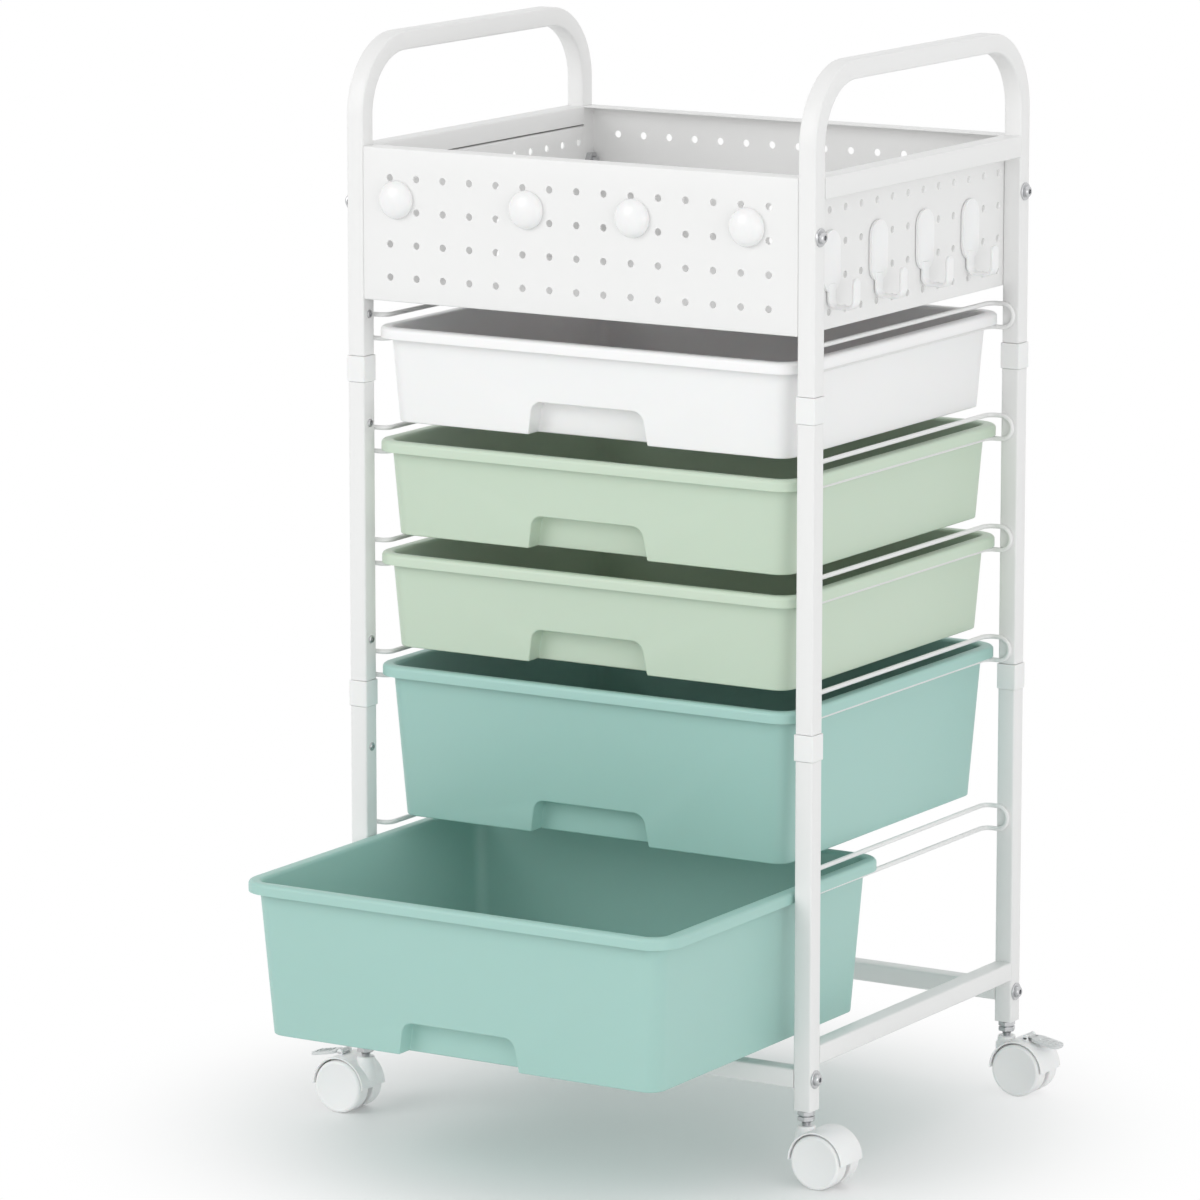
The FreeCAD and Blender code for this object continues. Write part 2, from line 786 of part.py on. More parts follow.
def drawer(number, pitch, gap, open_drawer):
    """Moulded drawer: tapered tub, overhanging rim with a lip, runners and a grip at the foot."""
    name = f"drawer_{number}"
    body = new_body(name)
    bottom = rim_top - pitch + gap
    wall = mm.wall_thickness
    tub_height = rim_top - bottom
    top_radius = mm.tub_radius
    loft(
        body,
        tub_section(body, bottom, tub_height, Size("0"), top_radius),
        tub_section(body, rim_top, Size("0"), Size("0"), top_radius),
    )
    rim = sketch_on(body, "XY_Plane", rim_bottom)
    rectangle(rim, -rim_x, rim_front, rim_x, rim_rear, mm.rim_radius)
    pad(body, rim, mm.rim_height)
    channel = sketch_on(body, "XY_Plane", flange_bottom)
    lip = mm.lip_thickness
    rectangle(
        channel, lip - rim_x, rim_front + lip, rim_x - lip, rim_rear - lip, mm.rim_radius - lip
    )
    rectangle(channel, -tub_x, tub_front, tub_x, tub_rear, top_radius)
    pocket(body, channel, mm.rim_height)
    runners(body)
    loft(
        body,
        tub_section(body, bottom + wall, tub_height - wall, wall, top_radius - wall),
        tub_section(body, rim_top, Size("0"), wall, top_radius - wall),
        subtract=True,
    )
    grip(body, bottom, tub_height)
    level = rail_levels[number - 1]
    put(body, 0, -mm.open_drawer_pull if open_drawer else 0, level)
    keep(body, name)


def runners(body):
    """A guide strip under each side flange, which slides along the lower wire."""
    sketch = sketch_on(body, "XY_Plane", wire_top + mm.runner_clearance)
    half = mm.runner_thickness / 2
    start = tub_front + mm.rim_radius
    finish = tub_rear - mm.rim_radius
    for side in (-1, 1):
        rectangle(sketch, side * rail_x - half, start, side * rail_x + half, finish)
    pad(body, sketch, flange_bottom - wire_top)


def grip(body, bottom, tub_height):
    """Finger notch, open at the front and below, with its own wall inside the tub."""
    wall = mm.wall_thickness
    face = tub_front + mm.tub_taper * tub_height
    back = face + mm.grip_depth
    for inset, flip in ((wall, False), (Size("0"), True)):
        sketch = sketch_on(body, "XZ_Plane", -back - inset)
        half_low = mm.grip_width / 2 + inset
        half_high = mm.grip_top_width / 2 + inset
        top = bottom + mm.grip_height + inset
        low = bottom if not flip else bottom - wall
        outline(sketch, [
            (-half_low, low),
            (half_low, low),
            (half_high, top, mm.grip_radius),
            (-half_high, top, mm.grip_radius),
        ])
        reach = mm.grip_depth + inset
        if flip:
            pocket(body, sketch, 2 * reach, flipped=True)
        else:
            pad(body, sketch, reach)


# Magnets and hooks
def magnet(name, x, lift):
    """Round magnet with a domed cap, flat side on the front panel."""
    body = new_body(name)
    disc = sketch_on(body, "XY_Plane")
    polygon(disc, mm.magnet_width, MAGNET_SIDES)
    chamfer_top(body, pad(body, disc, mm.magnet_height), mm.magnet_height - mm.magnet_edge)
    forward = Rotation(Vector(1, 0, 0), 90)
    return put(body, x, -half_depth, mm.tray_bottom_height + lift, forward)


def peg_hook(name, y):
    """Hook with a stadium-shaped plate, two pegs behind it and a flat J below."""
    body = new_body(name)
    plate = sketch_on(body, "YZ_Plane")
    half = mm.hook_plate_width / 2
    edge = mm.hook_plate_height / 2
    rectangle(plate, -half, -edge, half, edge, mm.hook_corner)
    pad(body, plate, mm.hook_plate_thickness)
    strip = sketch_on(body, "XZ_Plane")
    t = mm.hook_strip_thickness
    bend_radius = mm.hook_bend
    root = mm.hook_plate_thickness
    low = -edge - mm.hook_drop
    outline(strip, [
        (Size("0"), -edge + 2 * t),
        (Size("0"), -edge + t),
        (root + t, -edge, t),
        (root + t, low, bend_radius),
        (mm.hook_reach, low, bend_radius),
        (mm.hook_reach, low + mm.hook_tip_rise),
        (mm.hook_reach - t, low + mm.hook_tip_rise),
        (mm.hook_reach - t, low + t, bend_radius - t),
        (root + 2 * t, low + t, bend_radius - t),
        (root + 2 * t, -edge + 2 * t, 2 * t),
    ])
    pad(body, strip, mm.hook_strip_width, symmetric=True)
    pegs = sketch_on(body, "YZ_Plane")
    for step in (-0.5, 0.5):
        polygon(pegs, mm.peg_width, FASTENER_SIDES, y=step * mm.hole_row_pitch)
    pad(body, pegs, mm.sheet_thickness + mm.peg_reach, flipped=True)
    rows_middle = mm.side_bottom_row + 1.5 * mm.hole_row_pitch
    return put(body, inner_x, y, mm.tray_bottom_height + rows_middle)


# Casters
hub_height = mm.wheel_diameter / 2
fender_radius = hub_height + mm.fender_gap + mm.fender_thickness
well_radius = hub_height + mm.fender_gap


def cylinder(name, radius, height, x=0, y=0, z=0, rotation=None):
    piece = doc.addObject("Part::Cylinder", name)
    bind(piece, "Radius", radius)
    bind(piece, "Height", height)
    return locate(piece, x, y, z, rotation)


def prism(name, sides, radius, height, x=0, y=0, z=0, rotation=None):
    """A regular bar with its flats at the given radius."""
    piece = doc.addObject("Part::Prism", name)
    piece.Polygon = sides
    bind(piece, "Circumradius", radius / math.cos(math.pi / sides))
    bind(piece, "Height", height)
    return locate(piece, x, y, z, rotation)


def block(name, length, width, height, x=0, y=0, z=0):
    piece = doc.addObject("Part::Box", name)
    bind(piece, "Length", length)
    bind(piece, "Width", width)
    bind(piece, "Height", height)
    return locate(piece, x, y, z)


def fused(name, pieces):
    whole = doc.addObject("Part::MultiFuse", name)
    whole.Shapes = pieces
    return whole


def cut(name, base, tool):
    result = doc.addObject("Part::Cut", name)
    result.Base = base
    result.Tool = tool
    return result


ALONG_Y = Rotation(Vector(1, 0, 0), -90)


def hood(name, side, with_lugs):
    """Caster hood: half fender over both wheels, web with the hub boss, and the swivel neck.

    Local frame: hub axis through the origin along Y, the neck behind the hub along X.
    """
    shell_width = caster_width - 2 * mm.fender_inset
    half_shell = shell_width / 2
    stem_x = -side * mm.caster_trail
    dome = prism(
        name + "_dome", WHEEL_SIDES, fender_radius, shell_width, 0, -half_shell, 0, ALONG_Y
    )
    neck_top = mm.neck_height - hub_height
    neck = prism(name + "_neck", HUB_SIDES, mm.neck_diameter / 2, neck_top, stem_x)
    solids = [dome, neck]
    if with_lugs:
        solids += pedal_lugs(name, side)
    outside = fused(name + "_outside", solids)
    below = block(
        name + "_below", 4 * fender_radius, caster_width, 2 * fender_radius,
        -2 * fender_radius, -caster_width / 2, -2 * fender_radius,
    )
    well_depth = caster_width / 2
    wells = []
    for place, low in (("front", -mm.web_thickness / 2 - well_depth), ("rear", mm.web_thickness / 2)):
        wells.append(prism(
            f"{name}_well_{place}", WHEEL_SIDES, well_radius, well_depth, 0, low, 0, ALONG_Y
        ))
    shell = cut(name + "_shell", outside, fused(name + "_hollow", [below] + wells))
    boss = prism(name + "_boss", HUB_SIDES, mm.hub_boss / 2, mm.web_thickness,
                 0, -mm.web_thickness / 2, 0, ALONG_Y)
    axle_bore = prism(name + "_axle_bore", HUB_SIDES, mm.axle_diameter / 2 + mm.axle_clearance,
                      mm.web_thickness, 0, -mm.web_thickness / 2, 0, ALONG_Y)
    socket_radius = mm.stem_diameter / 2 + mm.swivel_clearance
    socket = prism(name + "_socket", HUB_SIDES, socket_radius, mm.stem_socket,
                   stem_x, 0, neck_top - mm.stem_socket)
    pintle_radius = mm.pintle_diameter / 2 + mm.swivel_clearance
    pintle_hole = cylinder(name + "_pintle_hole", pintle_radius, mm.pintle_socket,
                           stem_x, 0, neck_top - mm.pintle_socket)
    bores = [axle_bore, socket, pintle_hole]
    if with_lugs:
        pin_radius = mm.pivot_pin / 2 + mm.axle_clearance
        bores.append(prism(
            name + "_pin_bore", FASTENER_SIDES, pin_radius, caster_width,
            side * mm.pedal_pivot_out, -caster_width / 2, mm.pedal_pivot_rise, ALONG_Y,
        ))
    return cut(name + "_body", fused(name + "_solid", [shell, boss]), fused(name + "_bores", bores))


def pedal_lugs(name, side):
    """Two ears on top of the fender that hold the brake pedal's pin."""
    ear_radius = mm.barrel_diameter / 2
    inside = mm.barrel_width / 2 + mm.lug_gap
    ears = []
    for end in (-1, 1):
        near = inside if end > 0 else -inside - mm.lug_thickness
        ears.append(block(
            f"{name}_ear_{end + 1}", 2 * ear_radius, mm.lug_thickness,
            mm.pedal_pivot_rise + ear_radius, side * mm.pedal_pivot_out - ear_radius, near, 0,
        ))
    return ears


def brake_pedal(name, side):
    """Tongue pressed by foot, on a barrel with a pin through the hood's ears."""
    body = new_body(name)
    barrel = sketch_on(body, "XZ_Plane")
    polygon(barrel, mm.barrel_diameter, HUB_SIDES)
    pad(body, barrel, mm.barrel_width, symmetric=True)
    half = mm.pedal_thickness / 2
    ear_clear = mm.barrel_diameter / 2 + mm.lug_gap + half
    low, high = sorted((0.0, float(side)))
    root = sketch_on(body, "XY_Plane", -half)
    rectangle(root, low * 2 * ear_clear, -mm.barrel_width / 2, high * 2 * ear_clear, mm.barrel_width / 2)
    pad(body, root, mm.pedal_thickness)
    tongue = sketch_on(body, "XY_Plane", -half)
    corners = [
        (side * ear_clear, -mm.pedal_width / 2),
        (side * mm.pedal_length, -mm.pedal_width / 2, mm.pedal_width / 3),
        (side * mm.pedal_length, mm.pedal_width / 2, mm.pedal_width / 3),
        (side * ear_clear, mm.pedal_width / 2),
    ]
    outline(tongue, corners)
    pad(body, tongue, mm.pedal_thickness)
    pin = sketch_on(body, "XZ_Plane")
    circle(pin, mm.pivot_pin)
    pad(body, pin, mm.barrel_width + 2 * mm.lug_gap + 2 * mm.lug_thickness, symmetric=True)
    return body


def wheel(name):
    """Tyre and hub in one, chamfered round its outer face, with a blind bore for the axle."""
    body = new_body(name)
    tread = sketch_on(body, "XY_Plane")
    polygon(tread, mm.wheel_diameter, WHEEL_SIDES)
    chamfer_top(body, pad(body, tread, mm.wheel_width), mm.wheel_edge)
    bore = sketch_on(body, "XY_Plane")
    polygon(bore, mm.axle_diameter + 2 * mm.axle_clearance, HUB_SIDES)
    pocket(body, bore, mm.wheel_width - mm.hub_cap, flipped=True)
    return body


def caster(corner, side, end, with_brake):
    """Twin-wheel caster that trails outward, with its own swivel, axle and, on two, a brake."""
    hub_x = side * (post_x + mm.caster_trail)
    hub_y = end * post_y
    body = hood("caster_hood_" + corner, side, with_brake)
    put(body, hub_x, hub_y, hub_height)
    keep(body, "caster_hood_" + corner)
    axle_half = web_face + mm.wheel_width - mm.hub_cap - mm.axle_end_gap
    axle = cylinder("caster_axle_" + corner, mm.axle_diameter / 2, 2 * axle_half)
    put(axle, hub_x, hub_y - axle_half, hub_height, ALONG_Y)
    keep(axle, "caster_axle_" + corner)
    for place, outward in (("front", -1), ("rear", 1)):
        name = f"caster_wheel_{corner}_{place}"
        disc = wheel(name)
        turned = Rotation(Vector(1, 0, 0), -90 * outward)
        put(disc, hub_x, hub_y + outward * web_face, hub_height, turned)
        keep(disc, name)
    if with_brake:
        name = "brake_pedal_" + corner
        pedal = brake_pedal(name, side)
        slope = Rotation(Vector(0, 1, 0), side * float(mm.pedal_slope))
        pivot_x = hub_x + side * mm.pedal_pivot_out
        put(pedal, pivot_x, hub_y, hub_height + mm.pedal_pivot_rise, slope)
        keep(pedal, name)


def caster_stem(name, x, y):
    """Threaded stem in the post's foot, with the thinner pintle that the hood turns on."""
    body = new_body(name)
    top = mm.floor_to_post + mm.insert_length
    shoulder = mm.neck_height - mm.stem_socket + mm.swivel_clearance
    tail = mm.neck_height - mm.pintle_socket + mm.swivel_clearance
    thread = sketch_on(body, "XY_Plane", shoulder)
    across_flats = math.cos(math.pi / FASTENER_SIDES)
    polygon(thread, mm.stem_diameter * across_flats, FASTENER_SIDES)
    pad(body, thread, top - shoulder)
    pintle = sketch_on(body, "XY_Plane", tail)
    polygon(pintle, mm.pintle_diameter * across_flats, FASTENER_SIDES)
    pad(body, pintle, shoulder - tail)
    return put(body, x, y, 0)


def jam_nut(name, x, y, height):
    body = new_body(name)
    section = sketch_on(body, "XY_Plane")
    polygon(section, mm.nut_width, 6)
    polygon(section, mm.stem_diameter + 2 * mm.shank_clearance, FASTENER_SIDES)
    pad(body, section, mm.nut_height)
    return put(body, x, y, height)


# The frame
for corner, (side, end) in CORNERS.items():
    lower_post(corner, side, end)
    middle_post(corner, side, end)
for side_name, side in SIDES.items():
    handle_loop("handle_loop_" + side_name, side)
    side_panel("tray_panel_" + side_name, side)
end_panel("tray_panel_front", -1)
end_panel("tray_panel_rear", 1)
tray_floor()
base_beams()

connectors = []
screws = []
bolts = []
stems = []
nuts = []
for corner, (side, end) in CORNERS.items():
    x = side * post_x
    y = end * post_y
    for level_name, level in (("lower", mm.lower_collar_height), ("upper", mm.upper_collar_height)):
        connectors.append(connector(f"connector_{level_name}_{corner}", x, y, level, side))
        for up in (-1, 1):
            height = level + up * mm.lock_screw_offset
            screws.append(lock_screw(f"lock_screw_{level_name}_{corner}_{up + 1}", side, y, height))
    for level_name, level in bolt_levels.items():
        bolts.append(frame_bolt(f"bolt_{level_name}_{corner}", side, y, level))
    stems.append(caster_stem("stem_" + corner, x, y))
    for step in (1, 2):
        nut_bottom = mm.floor_to_post - step * mm.nut_height
        nuts.append(jam_nut(f"jam_nut_{corner}_{step}", x, y, nut_bottom))
group("tube_connectors", connectors)
group("connector_screws", screws)
group("frame_bolts", bolts)
threaded_inserts()
group("caster_stems", stems)
group("caster_jam_nuts", nuts)

# Rails and drawers
for number, level in enumerate(rail_levels, start=1):
    for side_name, side in SIDES.items():
        rail(f"rail_{number}_{side_name}", side, level)
for number in range(1, 6):
    deep = number > 3
    pitch = mm.deep_pitch if deep else mm.shallow_pitch
    gap = mm.deep_drawer_gap if deep else mm.shallow_drawer_gap
    drawer(number, pitch, gap, number == 5)

# What hangs on the tray
MAGNET_COLUMNS = (-6.73, -1.83, 2.09, 6.24)
magnets = []
for number, column in enumerate(MAGNET_COLUMNS, start=1):
    magnets.append(magnet(f"magnet_{number}", column * mm.front_hole_pitch, mm.magnet_lift))
group("panel_magnets", magnets)
HOOK_COLUMNS = (-5, -2, 1, 4)
hooks = []
for number, column in enumerate(HOOK_COLUMNS, start=1):
    hooks.append(peg_hook(f"hook_{number}", column * mm.side_hole_pitch))
group("peg_hooks", hooks)

# Casters
for corner, (side, end) in CORNERS.items():
    caster(corner, side, end, corner in ("front_left", "rear_right"))

doc.recompute()

# Check every object, then write one file for each sub-part
for thing in doc.Objects:
    if "Invalid" in thing.State or "Error" in thing.State:
        raise RuntimeError(f"{thing.Name} did not compute: {thing.State}")
for thing in subparts:
    shape = thing.Shape
    if shape.isNull() or not shape.isValid() or not shape.Solids:
        raise RuntimeError(f"{thing.Label} has no valid solid")
for thing in subparts:
    thing.Shape.exportStep(f"parts/{thing.Label}.step")
print(f"{len(subparts)} sub-parts written")
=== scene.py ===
"""Finer pieces and finishes for the rolling storage cart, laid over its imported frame."""

import json
import math

import bmesh
import bpy
from bpy.props import FloatProperty, FloatVectorProperty, PointerProperty
from mathutils import Matrix, Vector


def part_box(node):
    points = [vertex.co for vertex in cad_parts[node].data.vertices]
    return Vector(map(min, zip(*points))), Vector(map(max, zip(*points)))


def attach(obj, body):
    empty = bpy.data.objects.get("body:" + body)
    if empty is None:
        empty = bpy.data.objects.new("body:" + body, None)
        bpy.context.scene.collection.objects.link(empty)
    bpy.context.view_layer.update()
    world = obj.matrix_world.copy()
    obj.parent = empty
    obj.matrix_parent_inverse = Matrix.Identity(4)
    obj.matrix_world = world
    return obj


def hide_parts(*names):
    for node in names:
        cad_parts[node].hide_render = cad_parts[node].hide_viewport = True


bl_info = {
    "name": "Rolling storage cart",
    "version": (1, 0, 0),
    "blender": (4, 5, 0),
    "location": "View3D > Sidebar > Cart",
    "description": "Builds the visible pieces and finishes of a rolling storage cart",
    "category": "Object",
}

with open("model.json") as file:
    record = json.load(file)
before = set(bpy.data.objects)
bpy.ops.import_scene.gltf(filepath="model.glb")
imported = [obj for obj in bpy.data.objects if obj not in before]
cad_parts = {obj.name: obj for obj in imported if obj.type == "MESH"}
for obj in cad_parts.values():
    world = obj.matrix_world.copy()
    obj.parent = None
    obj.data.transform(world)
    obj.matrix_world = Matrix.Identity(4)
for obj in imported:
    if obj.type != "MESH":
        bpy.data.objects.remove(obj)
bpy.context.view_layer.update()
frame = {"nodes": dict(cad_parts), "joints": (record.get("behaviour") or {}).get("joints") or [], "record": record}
JOINTS = {joint["name"]: joint for joint in frame["joints"]}
MM = 0.001
CORNERS = ("front_left", "front_right", "rear_left", "rear_right")
SIDES = {"left": -1, "right": 1}
BRAKED = {"front_left": -1, "rear_right": 1}
X_AXIS = Vector((1, 0, 0))
Y_AXIS = Vector((0, 1, 0))
Z_AXIS = Vector((0, 0, 1))
QUARTER = math.radians(90)
TUBE_EDGE = 0.2 * MM
HALF_COLLAR = 11.1 * MM
SCREW_OFFSET = 45.5 * MM
PLUG_BELOW = 41 * MM
PLUG_LENGTH = 104 * MM
FRONT_COLUMNS = 15
SIDE_COLUMNS = 13
ROWS = 4
MAGNET_COLUMNS = (-6.73, -1.83, 2.09, 6.24)
HOOK_COLUMNS = (-5, -2, 1, 4)
CAMERA_AZIMUTH = math.radians(31.455)
CAMERA_ELEVATION = math.radians(10.652)
CAMERA_DISTANCE = 5.582
CAMERA_LENS = 200.4
CAMERA_TARGET = (-0.0620, -0.0419, 0.4323)


def length(name, description, millimetres):
    return FloatProperty(
        name=name, description=description, default=millimetres * MM, unit="LENGTH", precision=4
    )


def colour(name, description, red, green, blue):
    return FloatVectorProperty(
        name=name, description=description, default=(red, green, blue), size=3,
        min=0.0, max=1.0, subtype="COLOR",
    )


class CartSizes(bpy.types.PropertyGroup):
    """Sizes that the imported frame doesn't hold."""

    tube_wall: length("Tube wall", "Wall of the square tube", 1.2)
    tube_corner: length("Tube corner", "Outside corner radius of the square tube", 1.7)
    loop_radius: length("Loop radius", "Outside radius of the handle loops' bends", 66.0)
    collar_height: length("Collar height", "Height of a connector's collar", 22.2)
    collar_width: length("Collar width", "Width of a connector's collar", 17.8)
    plug_width: length("Plug width", "Width of a connector's plug", 13.2)
    sheet: length("Sheet", "Thickness of the tray's sheet steel", 1.2)
    fold: length("Fold", "Radius of the tray's folded edges", 1.3)
    hole: length("Peg hole", "Diameter of a peg hole", 6.2)
    hole_rise: length("Row pitch", "Distance between rows of peg holes", 27.3)
    front_pitch: length("Front pitch", "Distance between columns on the end panels", 25.56)
    side_pitch: length("Side pitch", "Distance between columns on the side panels", 25.83)
    front_row: length("Front row", "Height of the end panels' bottom row", 20.2)
    side_row: length("Side row", "Height of the side panels' bottom row", 13.8)
    top_rail: length("Top rail", "Height of the box fold along the side panels' top", 18.0)
    wire: length("Wire", "Diameter of the rail wire", 4.0)
    wire_bend: length("Wire bend", "Radius of the bends in the rail wire", 8.0)
    drawer_wall: length("Drawer wall", "Thickness of the moulded drawers", 2.0)
    drawer_edge: length("Drawer edge", "Rounding of the drawers' edges", 1.3)
    rim_height: length("Rim height", "Height of the lip round a drawer", 9.2)
    rim_corner: length("Rim corner", "Corner radius of the rim", 25.0)
    tub_corner: length("Tub corner", "Corner radius of the tub", 14.0)
    tub_taper: FloatProperty(
        name="Tub taper", description="How far a wall leans in for its height", default=0.062
    )
    rim_side: length("Rim at the sides", "Overhang of the rim at the sides", 10.2)
    rim_front: length("Rim at the front", "Overhang of the rim at the front", 8.5)
    rim_rear: length("Rim at the rear", "Overhang of the rim at the rear", 10.0)
    grip_width: length("Grip width", "Width of the finger notch at its foot", 113.0)
    grip_top: length("Grip top", "Width of the finger notch at its top", 104.0)
    grip_height: length("Grip height", "Height of the finger notch", 27.5)
    grip_depth: length("Grip depth", "Depth of the finger notch", 15.0)
    grip_corner: length("Grip corner", "Rounding of the finger notch's top corners", 8.5)
    wheel_edge: length("Wheel edge", "Rounding of a wheel's outer edge", 2.6)
    fender: length("Fender", "Thickness of the caster's fender", 1.4)
    web: length("Web", "Thickness of the wall between the wheels", 6.8)
    thread: length("Thread pitch", "Pitch of the stem's thread", 1.25)


class CartColours(bpy.types.PropertyGroup):
    """Base colours of the finishes."""

    powder: colour("Powder coat", "Steel tube, sheet and wire", 0.83, 0.83, 0.825)
    connector: colour("Connector", "Moulded collars", 0.86, 0.865, 0.86)
    white: colour("White drawer", "Top drawer", 0.90, 0.90, 0.90)
    sage: colour("Sage drawer", "Second and third drawers", 0.575, 0.69, 0.56)
    teal: colour("Teal drawer", "Two deep drawers", 0.372, 0.60, 0.548)
    magnet: colour("Magnet", "Domed magnets", 0.88, 0.88, 0.88)
    hook: colour("Hook", "Peg hooks", 0.89, 0.89, 0.89)
    caster: colour("Caster", "Fenders and wheels", 0.90, 0.90, 0.90)
    pedal: colour("Pedal", "Translucent brake pedals", 0.86, 0.88, 0.88)
    zinc: colour("Zinc", "Bolts, nuts and stems", 0.60, 0.605, 0.615)
    floor: colour("Floor", "Floor under the cart", 0.88, 0.885, 0.885)


# Shaping tools
def of_kind(made, kind):
    """The vertices, edges or faces among what an operation made."""
    return [item for item in made if isinstance(item, kind)]


def rounding(mesh, geom, radius, segments, affect="EDGES"):
    """Rounds edges, or the corners of a flat face."""
    return bmesh.ops.bevel(
        mesh, geom=geom, offset=radius, offset_type="OFFSET", segments=segments,
        profile=0.5, affect=affect, material=-1,
    )


def take_off(mesh, *faces):
    """Removes faces and keeps their edges."""
    bmesh.ops.delete(mesh, geom=faces, context="FACES_ONLY")


def rounded_face(mesh, width, depth, radius, segments, place):
    """A rounded rectangle in the XY plane of its place."""
    verts = bmesh.ops.create_grid(mesh, x_segments=1, y_segments=1, size=0.5)["verts"]
    bmesh.ops.scale(mesh, vec=(width, depth, 1), verts=verts)
    made = rounding(mesh, verts, radius, segments, "VERTICES")
    face = made["verts"][0].link_faces[0]
    bmesh.ops.transform(mesh, matrix=place, verts=face.verts[:])
    return face


def draw_out(mesh, face, travel):
    """Extrudes a face along a straight run and returns the new end."""
    made = bmesh.ops.extrude_face_region(mesh, geom=[face])["geom"]
    bmesh.ops.translate(mesh, vec=travel, verts=of_kind(made, bmesh.types.BMVert))
    return of_kind(made, bmesh.types.BMFace)[0]


def turn_out(mesh, face, centre, axis, angle, steps):
    """Extrudes a face round a bend and returns the new end."""
    made = bmesh.ops.spin(
        mesh, geom=[face], cent=centre, axis=axis, angle=angle, steps=steps, use_duplicate=False
    )["geom_last"]
    return of_kind(made, bmesh.types.BMFace)[0]


def draw_edges(mesh, edges, travel):
    """Extrudes edges along a straight run and returns the new edges."""
    made = bmesh.ops.extrude_edge_only(mesh, edges=edges)["geom"]
    verts = of_kind(made, bmesh.types.BMVert)
    bmesh.ops.translate(mesh, vec=travel, verts=verts)
    return [
        edge for edge in of_kind(made, bmesh.types.BMEdge)
        if all(vert in verts for vert in edge.verts)
    ]


def join_rings(mesh, inner, outer, centre):
    """Faces that look down between two level rings, matched by their turn round the middle."""
    rings = []
    for edges in (inner, outer):
        verts = {vert for edge in edges for vert in edge.verts}
        rings.append(sorted(verts, key=lambda vert: math.atan2(vert.co.y - centre, vert.co.x)))
    near, far = rings
    for index in range(len(near)):
        mesh.faces.new((near[index - 1], near[index], far[index], far[index - 1]))


def turned(mesh, profile, place, steps=32):
    """Turns a profile of (radius, height) points once round the Z axis of its place."""
    verts = [mesh.verts.new((radius, 0, height)) for radius, height in profile]
    edges = [mesh.edges.new(pair) for pair in zip(verts, verts[1:])]
    before = set(mesh.verts)
    bmesh.ops.spin(
        mesh, geom=verts + edges, cent=(0, 0, 0), axis=Z_AXIS, angle=math.tau, steps=steps,
        use_merge=True, use_duplicate=False,
    )
    made = verts + [vert for vert in mesh.verts if vert not in before]
    made = [vert for vert in made if vert.is_valid]
    bmesh.ops.transform(mesh, matrix=place, verts=made)


def rod(mesh, radius, low, high, place, steps, capped=True):
    """A round bar along the Z axis of its place; its top may be left open."""
    profile = [(0, low), (radius, low), (radius, high)]
    turned(mesh, profile + [(0, high)] * capped, place, steps)


def slab(mesh, width, depth, height, radius, place, segments=4):
    """A plate or bar: a rounded rectangle with thickness."""
    face = rounded_face(mesh, width, depth, radius, segments, place)
    draw_out(mesh, face, place.to_3x3() @ Vector((0, 0, height)))


def at(x, y, z):
    return Matrix.Translation((x, y, z))


def facing(x, y, z, direction):
    """A place whose Z axis points the given way, with its Y axis up where it can be."""
    return at(x, y, z) @ Vector(direction).to_track_quat("Z", "Y").to_matrix().to_4x4()


def middle(node):
    low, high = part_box(node)
    return (low + high) / 2


def face_out(mesh):
    """Merges doubles and turns the faces outwards; the foot of an open shell looks down."""
    bmesh.ops.remove_doubles(mesh, verts=mesh.verts, dist=0.005 * MM)
    bmesh.ops.recalc_face_normals(mesh, faces=mesh.faces)
    mesh.normal_update()
    foot = min(vert.co.z for vert in mesh.verts) + 0.1 * MM
    lowest = [face for face in mesh.faces if face.calc_center_median().z < foot]
    if sum(face.normal.z * face.calc_area() for face in lowest) > 0.1 * MM * MM:
        bmesh.ops.reverse_faces(mesh, faces=mesh.faces)


def sharp_edges(mesh, crease):
    """Edges where two faces meet at more than the given angle, in degrees."""
    return [
        edge for edge in mesh.edges
        if len(edge.link_faces) == 2 and edge.calc_face_angle() > math.radians(crease)
    ]


def round_edges(mesh, radius, segments=4, crease=32):
    """Rounds the sharp edges of a skin before it gets its wall."""
    face_out(mesh)
    rounding(mesh, sharp_edges(mesh, crease), radius, segments)


def add_piece(mesh, name, body, slot, nodes=(), wall=0.0, edge=0.0, segments=2, crease=35):
    """Turns a bmesh to a piece that rides on its body, has its finish and stands for its nodes."""
    face_out(mesh)
    data = bpy.data.meshes.new(name)
    mesh.to_mesh(data)
    mesh.free()
    data.shade_smooth()
    data.materials.append(finish_of(slot))
    piece = bpy.data.objects.new(name, data)
    bpy.context.scene.collection.objects.link(piece)
    if wall:
        solidify = piece.modifiers.new("Wall", "SOLIDIFY")
        solidify.thickness = wall
        solidify.offset = -1
        solidify.use_even_offset = True
    if edge:
        bevel = piece.modifiers.new("Rounded edges", "BEVEL")
        bevel.width = edge
        bevel.segments = segments
        bevel.limit_method = "ANGLE"
        bevel.angle_limit = math.radians(crease)
        bevel.harden_normals = True
    else:
        data.set_sharp_from_angle(angle=math.radians(crease))
    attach(piece, body)
    if nodes:
        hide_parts(*nodes)
    return piece


def steel(mesh, node, ending, **looks):
    """A white steel piece of the frame that stands for its node."""
    add_piece(mesh, node + ending, "frame", "frame_white", [node], **looks)


# Shared surface effects
def operation_node(tree, operation, kind="ShaderNodeMath"):
    node = tree.nodes.new(kind)
    node.operation = operation
    return node


def preset(node, **values):
    """Sets a node's inputs; an underscore stands for a space."""
    for label, value in values.items():
        node.inputs[label.replace("_", " ")].default_value = value


def feed(tree, *links):
    """Links outputs to inputs, given in pairs."""
    for source, target in links:
        tree.links.new(source, target)


